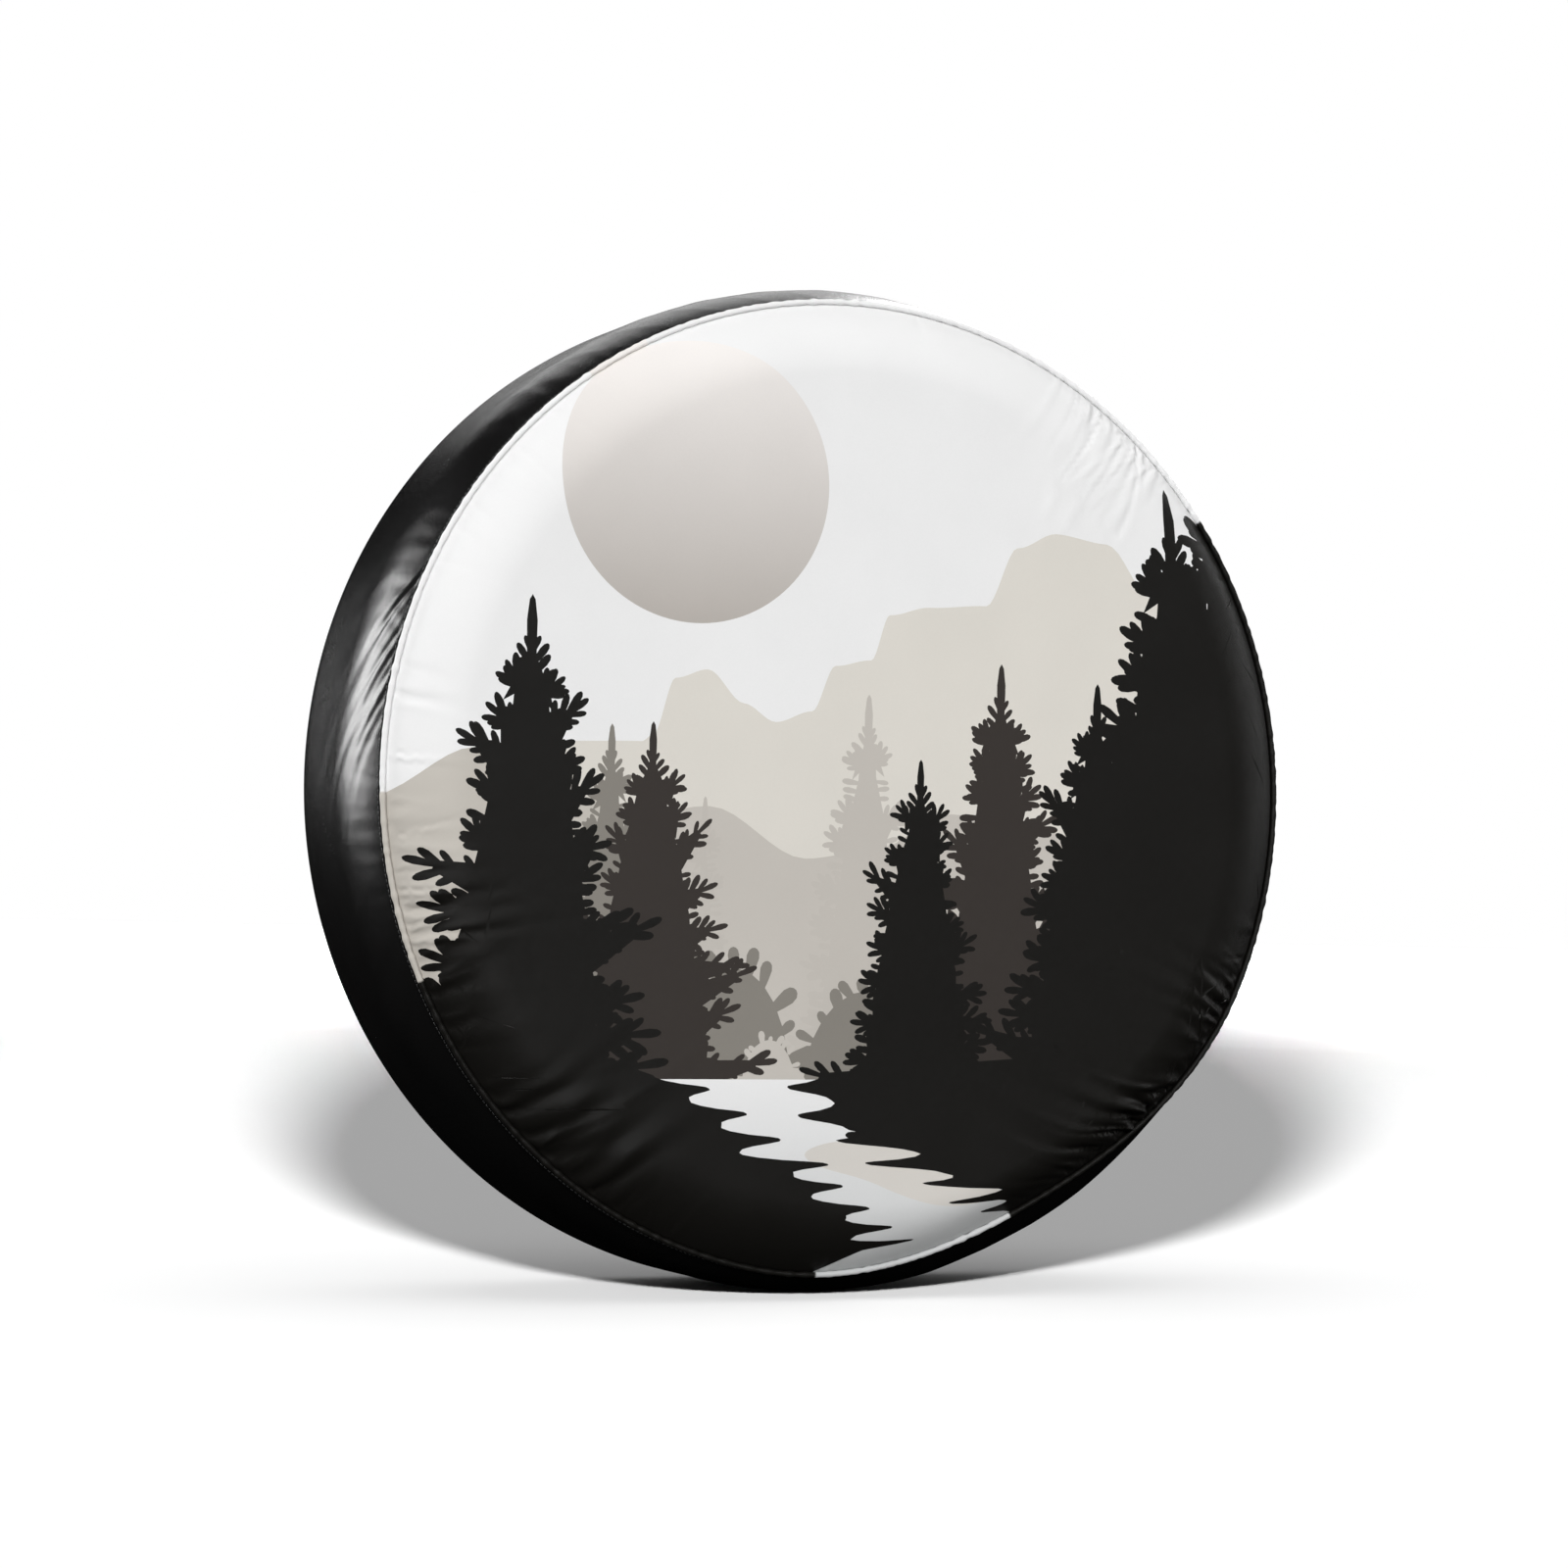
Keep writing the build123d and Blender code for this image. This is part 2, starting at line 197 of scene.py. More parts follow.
# Where the sewing draws the printed face and the band into puckers: angle, half width, height
FACE_PLACES = [(176, 7, 0.5), (195, 12, 1.0), (235, 14, 0.5), (53, 9, 1.3), (140, 10, 0.5)]
BAND_PLACES = [(160, 7, 0.4), (176, 14, 0.5), (130, 14, 0.3), (285, 25, 0.3), (40, 30, 0.3)]
FACE_FOLDS = draw_folds(42, 110, 0.10, FACE_PLACES, 2.8 * MM, 24 * MM, 0.50 * MM)
FACE_FOLDS += draw_folds(45, 26, 0.0, [(332, 9, 1.0)], 3.2 * MM, 20 * MM, 1.00 * MM, -0.1)
FACE_FOLDS += draw_folds(46, 34, 0.0, [(314, 10, 1.0)], 3.8 * MM, 24 * MM, 1.55 * MM, -0.8)
FACE_FOLDS += draw_folds(47, 16, 0.0, [(229, 15, 1.0)], 6.0 * MM, 30 * MM, 0.85 * MM, 0.4)
FACE_FOLDS += draw_folds(48, 12, 0.0, [(200, 8, 1.0)], 5.0 * MM, 30 * MM, 0.75 * MM)
BAND_FOLDS = draw_folds(61, 110, 0.22, BAND_PLACES, 3.0 * MM, 30 * MM, 0.20 * MM)
BAND_FOLDS += draw_folds(62, 20, 0.0, [(163, 12, 1.0)], 4.6 * MM, 44 * MM, 0.26 * MM, 1.7)


BORDER_RUN = SEAM_R - FLAT_R
BORDER_TURN = 2 * math.atan2(SEAM_Y - FRONT_Y, BORDER_RUN)
BORDER_R = BORDER_RUN / math.sin(BORDER_TURN)


def draw_seam_in(points):
    """Pulls what is near the front seam inwards at the lower right, where the band shows most."""
    x, y, z = points.T
    radius = np.maximum(np.hypot(x, z), MM)
    away = np.abs(turn_between(np.arctan2(z, x), SEAM_DRAW_PLACE)) / SEAM_DRAW_HALF
    edge = smooth((radius - FLAT_R) / (SEAM_R - FLAT_R))
    front = smooth((TREAD_START_Y - y) / (TREAD_START_Y - SEAM_Y))
    scale = 1 - SEAM_DRAW * smooth(1 - away) * edge * front / radius
    return np.stack([x * scale, y, z * scale], axis=-1)


def panel_lift(radius, angle):
    """How far the printed face stands proud of its even shape."""
    inward = SEAM_R - radius
    lift = np.zeros_like(angle)
    border = (inward < FOLD_ROOM) & (inward > 0)
    lift[border] = folded(angle[border], inward[border], SEAM_R, FACE_FOLDS)
    broad = 0.30 * MM * ripples(angle, 17, 44) * smooth((radius - 0.2) / 0.1)
    return lift + broad * smooth(inward / (20 * MM))


def panel_point(u, v):
    """A point of the printed sheet, from its flat place; 1 is the seam and more is turned in."""
    reach = np.hypot(u, v)
    angle = np.arctan2(v, u)
    radius = np.minimum(reach, 1.0) * SEAM_R
    slope = np.arcsin(np.clip((radius - FLAT_R) / BORDER_R, 0, 1))
    lift = panel_lift(radius, angle)
    turned = np.clip(reach - 1.0, 0, 1) * SEAM_R
    y = FRONT_Y + BORDER_R * (1 - np.cos(slope)) - lift * np.cos(slope) + turned
    out = radius + lift * np.sin(slope) * (reach <= 1)
    return draw_seam_in(np.stack([out * np.cos(angle), y, out * np.sin(angle)], axis=-1))


def normals_of(surface, u, v, step=2e-4):
    """Normals by small steps over a surface given by two coordinates."""
    along_u = surface(u + step, v) - surface(u - step, v)
    along_v = surface(u, v + step) - surface(u, v - step)
    normal = np.cross(along_u, along_v)
    return normal / np.linalg.norm(normal, axis=-1, keepdims=True)


BAND_ARC_RUN = TREAD_R - BAND_START[0]
BAND_ARC_LENGTH_Y = TREAD_START_Y - BAND_START[1]
BAND_ARC_TURN = 2 * math.atan2(BAND_ARC_RUN, BAND_ARC_LENGTH_Y)
BAND_ARC_R = BAND_ARC_LENGTH_Y / math.sin(BAND_ARC_TURN)
BAND_ARC = BAND_ARC_R * BAND_ARC_TURN
BAND_FLAT = TREAD_END_Y - TREAD_START_Y
BAND_LENGTH = BAND_ARC + BAND_FLAT + SHOULDER_R * BAND_LAP


def band_line(along):
    """Radius and depth of the band's outer face and its outward direction, from the seam back."""
    front = BAND_ARC_TURN * (1 - along / BAND_ARC)
    rear = (along - BAND_ARC - BAND_FLAT) / SHOULDER_R
    in_arc = along < BAND_ARC
    tilt = np.where(in_arc, -front, np.clip(rear, 0, None))
    radius = np.where(in_arc, TREAD_R - BAND_ARC_R * (1 - np.cos(front)), TREAD_R)
    arc_depth = TREAD_START_Y - BAND_ARC_R * np.sin(front)
    depth = np.where(in_arc, arc_depth, TREAD_START_Y + along - BAND_ARC)
    past = rear > 0
    radius = np.where(past, SHOULDER_CENTRE_R + SHOULDER_R * np.cos(rear), radius)
    depth = np.where(past, TREAD_END_Y + SHOULDER_R * np.sin(rear), depth)
    return radius, depth, np.cos(tilt), np.sin(tilt)


def lap_pucker(angle, around_shoulder):
    """Small puckers along the rear lap seam, the same in both layers."""
    away = (around_shoulder - LAP_PLACE) / math.radians(9)
    return 0.35 * MM * ripples(angle, 150, 51) * np.exp(-away * away)


def band_lift(angle, along):
    """How far the band stands proud of its even shape: puckers at the seam and slack folds."""
    lift = folded(angle, along, SEAM_R, BAND_FOLDS)
    middle = np.exp(-((along - 50 * MM) / (45 * MM)) ** 2)
    crossing = creased(ripples(angle - 2.2 * along, 31, 63)) * middle
    broad = ripples(angle, 11, 64) * smooth(along / (40 * MM))
    lift = lift + (0.20 * crossing + 0.40 * broad) * MM
    fade = smooth((BAND_ARC + BAND_FLAT + 25 * MM - along) / (50 * MM))
    free = off_bottom(angle, 0.10, 0.20)
    shoulder = (along - BAND_ARC - BAND_FLAT) / SHOULDER_R
    pressed_flat = 0.25 * MM * (1 - free)
    return (lift * free - pressed_flat) * fade + lap_pucker(angle, shoulder) * free


def hem_fold(angle, radius):
    """How far the back stands off its plane, in folds that the elastic draws up."""
    near = smooth((radius - 221 * MM) / (12 * MM)) * smooth((322 * MM - radius) / (70 * MM))
    clear_of_lock = off_bottom(angle, math.radians(7), math.radians(9))
    deep = creased(ripples(angle, 62, 71, 0.25)) + 0.55 * ripples(angle + 1.5 * radius, 104, 72)
    return 2.1 * MM * near * clear_of_lock * deep


def grid_mesh(name, points, wrap_rows=True, wrap_columns=True):
    """A grid of points as quads, closed along its rows, its columns or both."""
    rows, columns = points.shape[:2]
    index = np.arange(rows * columns).reshape(rows, columns)
    if wrap_rows:
        index = np.vstack([index, index[:1]])
    if wrap_columns:
        index = np.hstack([index, index[:, :1]])
    corners = [index[:-1, :-1], index[1:, :-1], index[1:, 1:], index[:-1, 1:]]
    faces = np.stack(corners, axis=-1).reshape(-1, 4)
    return add_mesh(name, points.reshape(-1, 3), faces)


def show(name, data):
    """Puts a mesh, light or camera in the scene as an object."""
    obj = bpy.data.objects.new(name, data)
    bpy.context.scene.collection.objects.link(obj)
    return obj


def finish_mesh(mesh, change=None):
    """Makes a change to a mesh, if there is one, and turns its faces outwards."""
    work = bmesh.new()
    work.from_mesh(mesh)
    if change:
        change(work)
    bmesh.ops.recalc_face_normals(work, faces=work.faces)
    work.to_mesh(mesh)
    work.free()
    mesh.shade_smooth()


def add_mesh(name, points, faces):
    mesh = bpy.data.meshes.new(name)
    mesh.from_pydata(draw_seam_in(points).tolist(), [], faces.tolist())
    finish_mesh(mesh)
    return show(name, mesh)


def dress(obj, body, slot, *materials):
    """Gives a new piece its body and its materials. The slot argument is not used."""
    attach(obj, body)
    for look in materials:
        obj.data.materials.append(look)


# ---- Materials ----

class Look:
    """A material and short ways to add nodes to it."""

    def __init__(self, name, **sockets):
        self.material = bpy.data.materials.new(name)
        self.material.use_nodes = True
        self.nodes = self.material.node_tree.nodes
        self.links = self.material.node_tree.links
        self.shader = self.nodes["Principled BSDF"]
        for socket, value in sockets.items():
            self.shader.inputs[socket.replace("_", " ")].default_value = value
        self.place = self.node("TexCoord").outputs["Object"]

    def node(self, kind, inputs=(), **settings):
        node = self.nodes.new("ShaderNode" + kind)
        for key, value in settings.items():
            setattr(node, key, value)
        for key, value in dict(inputs).items():
            self.feed(node.inputs[key], value)
        return node

    def feed(self, socket, value):
        if isinstance(value, bpy.types.NodeSocket):
            self.links.new(value, socket)
        else:
            socket.default_value = value

    def math(self, operation, a, b=0.0):
        return self.node("Math", {0: a, 1: b}, operation=operation).outputs[0]

    def plus(self, a, b):
        return self.math("ADD", a, b)

    def times(self, a, b):
        return self.math("MULTIPLY", a, b)

    def waves(self, distance, period):
        return self.math("SINE", self.times(distance, 2 * math.pi / period))

    def noise(self, scale, detail=3.0, place=None, distortion=0.0):
        inputs = {"Vector": place or self.place, "Scale": scale, "Detail": detail, "Distortion": distortion}
        return self.node("TexNoise", inputs).outputs["Fac"]

    def spread(self, value, low, high, to_low, to_high):
        inputs = {"Value": value, "From Min": low, "From Max": high, "To Min": to_low, "To Max": to_high}
        return self.node("MapRange", inputs).outputs["Result"]

    def between(self, low, high, noise):
        """A value from low to high that follows a noise."""
        return self.spread(noise, 0.3, 0.7, low, high)

    def worn_edges(self, start, end, most):
        """Where the surface is sharply convex, rising to a share."""
        convex = self.node("NewGeometry").outputs["Pointiness"]
        return self.spread(convex, start, end, 0.0, most)

    def mix(self, factor, a, b):
        return self.node("Mix", {0: factor, 6: a, 7: b}, data_type="RGBA").outputs[2]

    def stretched(self, x, y, z):
        return self.node("Mapping", {"Vector": self.place, "Scale": (x, y, z)}).outputs[0]

    def around(self, radius):
        """Distance round the wheel, distance back and inwards, and the place across and up."""
        x, y, z = self.node("SeparateXYZ", {0: self.place}).outputs
        angle = self.math("ARCTAN2", z, x)
        reach = self.math("SQRT", self.plus(self.times(x, x), self.times(z, z)))
        return self.times(angle, radius), self.math("SUBTRACT", y, reach), x, z

    def weave(self, across, along, period):
        """Over-and-under threads, from two distances in metres."""
        return self.times(self.waves(across, period), self.waves(along, period))

    def bump(self, height, distance, strength=1.0, normal=None):
        inputs = {"Height": height, "Distance": distance, "Strength": strength}
        if normal:
            inputs["Normal"] = normal
        return self.node("Bump", inputs).outputs["Normal"]

    def finish(self, colour=None, roughness=None, normal=None):
        for socket, value in (("Base Color", colour), ("Roughness", roughness), ("Normal", normal)):
            if value is not None:
                self.feed(self.shader.inputs[socket], value)
        return self.material


def grey(value, warm=0.0):
    return (value * (1 + warm), value, value * (1 - warm), 1.0)


def printed_fabric():
    """Smooth coated polyester with the print in its surface colour."""
    look = Look("printed_fabric", Specular_IOR_Level=0.14)
    ink = look.node("Attribute", attribute_name="print").outputs["Color"]
    cloud = look.noise(14.0, 4.0)
    grain = look.noise(900.0, 2.0)
    shade = look.spread(look.plus(cloud, look.times(grain, 0.5)), 0.4, 1.1, 0.965, 1.02)
    colour = look.node("VectorMath", {0: ink, 3: shade}, operation="SCALE").outputs[0]
    _, _, x, z = look.around(1.0)
    threads = look.weave(x, z, 0.62 * MM)
    normal = look.bump(threads, 0.03 * MM)
    normal = look.bump(look.noise(160.0, 4.0), 0.25 * MM, 0.5, normal)
    return look.finish(colour, look.between(0.40, 0.50, cloud), normal)


def knit_backing():
    look = Look("knit_backing", Specular_IOR_Level=0.2, Sheen_Weight=0.3)
    _, _, across, along = look.around(1.0)
    loops = look.weave(across, along, 1.1 * MM)
    fuzz = look.noise(700.0, 4.0)
    tint = look.mix(look.plus(look.times(loops, 0.2), fuzz), grey(0.42, 0.03), grey(0.66, 0.02))
    height = look.plus(look.times(loops, 0.6), fuzz)
    return look.finish(tint, 0.9, look.bump(height, 0.25 * MM))


def black_fabric(name, roughness, tint):
    """Black polyester with a shiny coating: fine grain, small creases and worn ridges."""
    look = Look(name, Specular_IOR_Level=0.5, Coat_Weight=0.25, Coat_Roughness=0.22)
    across, along = look.around(0.345)[:2]
    cloud = look.noise(11.0, 5.0)
    grain = look.noise(620.0, 3.0)
    threads = look.weave(across, along, 0.7 * MM)
    colour = look.mix(cloud, grey(tint * 0.75), grey(tint * 1.25, 0.02))
    colour = look.mix(look.worn_edges(0.5, 0.56, 0.2), colour, grey(tint * 3))
    small = look.noise(38.0, 3.0, look.stretched(1.0, 2.6, 1.0), 0.5)
    normal = look.bump(threads, 0.022 * MM)
    normal = look.bump(grain, 0.05 * MM, 0.5, normal)
    normal = look.bump(small, 0.35 * MM, 0.40, normal)
    rough = look.plus(look.between(roughness, roughness + 0.04, cloud), look.times(grain, 0.03))
    return look.finish(colour, rough, normal)


def woven_tape(name, tint):
    look = Look(name, Specular_IOR_Level=0.3, Sheen_Weight=0.25)
    period = 0.9 * MM
    across, along = look.around(0.34)[:2]
    ribs = look.plus(look.waves(across, period), look.weave(across, along, period * 0.7))
    fuzz = look.noise(500.0, 3.0)
    colour = look.mix(look.spread(ribs, -1.4, 1.4, 0.0, 1.0), grey(tint * 0.6), grey(tint * 1.5))
    height = look.plus(ribs, look.times(fuzz, 0.7))
    return look.finish(colour, look.between(0.62, 0.8, fuzz), look.bump(height, 0.09 * MM))


def thread():
    look = Look("sewing_thread", Specular_IOR_Level=0.45, Sheen_Weight=0.2)
    fuzz = look.noise(2500.0, 2.0)
    return look.finish(look.mix(fuzz, grey(0.02), grey(0.07)), 0.45, look.bump(fuzz, 0.05 * MM))


def braided_elastic():
    look = Look("braided_elastic", Specular_IOR_Level=0.3, Sheen_Weight=0.35)
    fuzz = look.noise(1800.0, 3.0)
    colour = look.mix(fuzz, grey(0.010), grey(0.045, 0.02))
    return look.finish(colour, look.between(0.6, 0.8, fuzz), look.bump(fuzz, 0.12 * MM))


def moulded_plastic(name, tint):
    look = Look(name, Specular_IOR_Level=0.5)
    grain = look.noise(1500.0, 3.0)
    cloud = look.noise(90.0, 3.0)
    colour = look.mix(cloud, grey(tint * 0.8), grey(tint * 1.3))
    colour = look.mix(look.worn_edges(0.52, 0.6, 0.6), colour, grey(tint * 4))
    return look.finish(colour, look.between(0.36, 0.5, cloud), look.bump(grain, 0.04 * MM, 0.6))


def plated_metal(name, tint, roughness):
    look = Look(name, Metallic=1.0)
    brushed = look.noise(900.0, 3.0, look.stretched(1.0, 6.0, 1.0))
    tarnish = look.noise(240.0, 4.0)
    dull = look.spread(tarnish, 0.45, 0.75, 0.0, 0.5)
    colour = look.mix(dull, grey(tint, 0.02), grey(tint * 0.5, 0.08))
    rough = look.between(roughness, roughness + 0.14, brushed)
    return look.finish(colour, rough, look.bump(brushed, 0.01 * MM))


def satin():
    look = Look("label_satin", Specular_IOR_Level=0.5, Sheen_Weight=0.4, Anisotropic=0.4)
    _, _, x, z = look.around(1.0)
    threads = look.waves(look.math("SUBTRACT", x, z), 0.5 * MM)
    fray = look.noise(400.0, 3.0)
    colour = look.mix(fray, grey(0.70, 0.02), grey(0.86, 0.01))
    return look.finish(colour, 0.42, look.bump(threads, 0.03 * MM))


# ---- The print ----

def tone(red, green, blue):
    """A printed tone as linear colour, from its sRGB values."""
    def linear(c):
        c /= 255
        return c / 12.92 if c <= 0.04045 else ((c + 0.055) / 1.055) ** 2.4
    return tuple(linear(c) for c in (red, green, blue))


SKY = tone(233, 233, 233)
MOON_TOP = tone(236, 232, 229)
MOON_LOW = tone(178, 172, 166)
FAR_HILL = tone(216, 212, 204)
SIDE_HILL = tone(191, 186, 178)
NEAR_HILL = tone(193, 188, 181)
PALE_TREE = tone(190, 185, 178)
GREY_TREE = tone(132, 128, 121)
BROWN_TREE = tone(54, 49, 46)
BLACK_TREE = tone(19, 18, 16)
WATER_TOP = tone(232, 232, 232)
WATER_LOW = tone(186, 188, 188)
WATER_GLOW = tone(208, 204, 198)


def offset(place, angle, ahead, aside=0.0):
    """The place some way ahead of another in a direction, and some way to its left."""
    x, y = place
    return (x + ahead * math.cos(angle) - aside * math.sin(angle),
            y + ahead * math.sin(angle) + aside * math.cos(angle))


def leaf(place, angle, length, width):
    """A finger-shaped lobe with a round tip: out along one edge and back along the other."""
    edge = [(0.0, 0.5), (0.35, 0.8), (0.68, 1.0), (0.88, 0.8), (0.97, 0.42), (1.0, 0.0)]
    edge += [(t, -half) for t, half in edge[-2::-1]]
    return [offset(place, angle, length * t, width * half) for t, half in edge]


def bough(root, angle, length, size, rng):
    """A limb from a trunk with finger-shaped twigs along both its sides and one at its end."""
    tip = offset(root, angle, length)
    halves = ((root, 0.50), (root, -0.85), (tip, -0.20), (tip, 0.14))
    limb = [offset(end, angle, 0.0, half * size) for end, half in halves]
    lobes = [limb, leaf(offset(tip, angle, -0.2 * size), angle, 1.15 * size, 0.14 * size)]
    for side, places in ((1, (0.30, 0.58, 0.84)), (-1, (0.20, 0.50, 0.80))):
        for t in places:
            along = length * (t + rng.uniform(-0.06, 0.06))
            lean = 0.80 - 0.40 * t + rng.uniform(-0.15, 0.15)
            reach = size * rng.uniform(0.80, 1.20)
            lobes.append(leaf(offset(root, angle, along), angle + side * lean, reach, 0.14 * reach))
    return lobes


def spruce(x, foot, height, spread, seed, tiers):
    """A spruce: a dense body with a tall leader, and tiers of boughs that widen downwards."""
    rng = random.Random(seed)
    top = foot + height
    bodies, lobes = [], []
    for side in (-1, 1):
        leader = ((0.0, 0.0), (0.006, 0.010), (0.011, 0.05), (0.010, 0.12))
        body = [(half * height, top - drop * height) for half, drop in leader]
        grown = []
        for i in range(4):
            y = top - height * (0.118 + 0.022 * i)
            twig = height * (0.044 + 0.007 * i) * rng.uniform(0.85, 1.15)
            turn = 1.15 - 0.18 * i + rng.uniform(-0.12, 0.12)
            grown.append(leaf((0.0, y), turn, twig, 0.145 * twig))
        for tier in range(tiers):
            t = (tier + 0.5 + rng.uniform(-0.25, 0.25)) / tiers
            y = top - height * (0.15 + 0.84 * t)
            size = (0.048 + 0.022 * t) * height
            widest = spread * (0.16 + 0.84 * t ** 0.75)
            reach = widest * rng.choice((0.78, 0.92, 1.0, 1.16))
            waist = 0.64 * widest - 0.3 * size
            body.append((waist * 0.92, y + 0.45 * size))
            body.append((waist * 1.05, y - 0.55 * size))
            start = 0.60 * waist
            turn = 0.9 * (1 - t) ** 1.5 + rng.uniform(-0.15, 0.32)
            length = max(reach - start - 0.9 * size, 0.25 * size) / max(math.cos(turn), 0.6)
            grown += bough((start, y), turn, length, size, rng)
            for i in range(3):
                low = y - (0.75 + 0.45 * i) * size
                twig = size * rng.uniform(0.75, 1.05)
                grown.append(leaf((waist * 0.86, low), rng.uniform(-0.15, 0.55), twig, 0.16 * twig))
        body.append((spread * 0.70, foot))
        body, *grown = [[(x + side * px, py) for px, py in outline] for outline in [body] + grown]
        bodies.append(body)
        lobes += grown
    return [bodies[0] + bodies[1][::-1]] + lobes


def skyline(heights, low, steps=8):
    """A smooth skyline through points, closed along a low line."""
    outline = []
    for (x0, y0), (x1, y1) in zip(heights, heights[1:]):
        for i in range(steps):
            outline.append((x0 + (x1 - x0) * i / steps, y0 + (y1 - y0) * smooth(i / steps)))
    return outline + [heights[-1], (heights[-1][0], low), (heights[0][0], low)]


def rounded_loop(corners, steps=6):
    """A closed loop through the middles of a polygon's sides, bent round its corners."""
    loop = []
    for (x0, y0), (x1, y1), (x2, y2) in zip(corners[-1:] + corners[:-1], corners, corners[1:] + corners[:1]):
        for i in range(steps):
            t = i / steps
            first, middle, last = (1 - t) ** 2 / 2, (1 + 2 * t - 2 * t * t) / 2, t * t / 2
            loop.append((first * x0 + middle * x1 + last * x2, first * y0 + middle * y1 + last * y2))
    return loop


def oval_point(x, y, width, height, angle):
    return (x + width * math.cos(angle), y + height * math.sin(angle))


def disc(x, y, radius, count=120):
    return [oval_point(x, y, radius, radius, 2 * math.pi * i / count) for i in range(count)]


def bush(x, foot, width, height, seed):
    """A rounded bush with leaves round its edge."""
    rng = random.Random(seed)
    turns = [math.pi * i / 12 for i in range(13)]
    lobes = [[oval_point(x, foot, 0.85 * width, 0.85 * height, a) for a in turns]]
    for a in turns[1:-1]:
        r = rng.uniform(0.72, 0.86)
        size = height * rng.uniform(0.16, 0.26)
        root = oval_point(x, foot, r * width, r * height, a)
        lobes.append(leaf(root, a + rng.uniform(-0.5, 0.5), size, size * 0.24))
    return lobes


def shore(points, reach, seed):
    """A shoreline down through points, with tapering fingers of land towards +X between them."""
    rng = random.Random(seed)
    profile = ((0.0, 0.0), (0.10, -0.04), (0.22, 0.10), (0.34, 0.42), (0.42, 0.80), (0.47, 0.97),
               (0.53, 1.0), (0.60, 0.95), (0.68, 0.70), (0.78, 0.34), (0.88, 0.10))
    outline = []
    for (x0, y0), (x1, y1) in zip(points, points[1:]):
        finger = reach * rng.uniform(0.6, 1.2)
        for t, out in profile:
            outline.append((x0 + (x1 - x0) * t + finger * out, y0 + (y1 - y0) * t))
    return outline + [points[-1]]


def artwork():
    """The printed landscape, back to front: outlines, tone at their top and tone at their foot.

    Places are shares of the seam's radius, from the middle of the face.
    """
    layers = []

    def add(outlines, top, low=None):
        if isinstance(outlines[0], tuple):
            outlines = [outlines]
        layers.append((outlines, top, low or top))

    add(disc(-0.38, 0.605, 0.288), MOON_TOP, MOON_LOW)
    far = [
        (-0.66, 0.07), (-0.49, 0.075), (-0.465, 0.09), (-0.42, 0.205), (-0.35, 0.225), (-0.27, 0.16),
        (-0.20, 0.125), (-0.12, 0.15), (-0.07, 0.245), (0.01, 0.26), (0.05, 0.355), (0.14, 0.375),
        (0.27, 0.385), (0.34, 0.51), (0.43, 0.545), (0.55, 0.53), (0.66, 0.42), (1.05, 0.36),
    ]
    add(skyline(far, -0.62), FAR_HILL)
    add(skyline([(-1.05, -0.06), (-0.84, 0.05), (-0.60, -0.04), (-0.40, -0.20)], -0.62), SIDE_HILL)
    near = [(-0.60, -0.10), (-0.34, -0.05), (-0.13, -0.15), (0.02, -0.13), (0.20, -0.05), (0.6, -0.1)]
    add(skyline(near, -0.62), NEAR_HILL)
    add(spruce(0.007, -0.62, 0.81, 0.20, 3, 8), PALE_TREE)
    add(spruce(-0.35, -0.60, 0.57, 0.08, 4, 6), PALE_TREE)
    add(spruce(-0.553, -0.60, 0.708, 0.17, 5, 8), GREY_TREE)
    add(bush(-0.28, -0.62, 0.15, 0.29, 6), GREY_TREE)
    add(bush(0.02, -0.62, 0.17, 0.24, 7), GREY_TREE)
    add(bush(-0.20, -0.62, 0.07, 0.12, 8), NEAR_HILL)
    add(spruce(-0.465, -0.62, 0.736, 0.25, 11, 9), BROWN_TREE)
    add(spruce(0.308, -0.62, 0.886, 0.24, 12, 11), BROWN_TREE)
    water = [(-1.05, -0.598), (1.05, -0.598), (1.05, -1.05), (-1.05, -1.05)]
    add(water, WATER_TOP, WATER_LOW)
    glow = [(-0.13, -0.745), (-0.05, -0.72), (0.06, -0.725), (0.20, -0.76), (0.32, -0.82), (0.36, -0.86)]
    glow += [(0.22, -0.868), (0.10, -0.835), (0.02, -0.80), (-0.09, -0.775)]
    add(rounded_loop(glow), WATER_GLOW)
    for near_tree in (
        (-0.726, -0.66, 1.017, 0.32, 21, 11), (-0.95, -0.80, 0.42, 0.22, 22, 6),
        (0.127, -0.66, 0.721, 0.23, 23, 9), (0.534, -0.66, 0.895, 0.28, 24, 11),
        (0.704, -0.70, 1.36, 0.35, 25, 12), (0.86, -0.70, 1.50, 0.40, 29, 14),
        (0.91, -0.70, 1.58, 0.46, 26, 14),
    ):
        add(spruce(*near_tree), BLACK_TREE)
    left = [(-0.45, -0.590), (-0.37, -0.640), (-0.30, -0.690), (-0.26, -0.745), (-0.14, -0.790),
            (-0.10, -0.835), (-0.02, -0.880), (0.0, -0.925), (0.02, -0.96)]
    add(shore(left, 0.13, 31) + [(-0.3, -1.1), (-1.1, -1.0), (-1.1, -0.5), (-0.9, -0.45)], BLACK_TREE)
    right = [(-0.09, -0.585), (-0.06, -0.640), (-0.02, -0.700), (0.13, -0.745), (0.20, -0.79),
             (0.33, -0.83), (0.36, -0.875), (0.42, -0.92)]
    mirrored = [(-x, y) for x, y in right]
    edge = [(-x, y) for x, y in shore(mirrored, 0.13, 32)]
    add(edge + [(1.1, -0.9), (1.1, -0.5)], BLACK_TREE)
    return layers


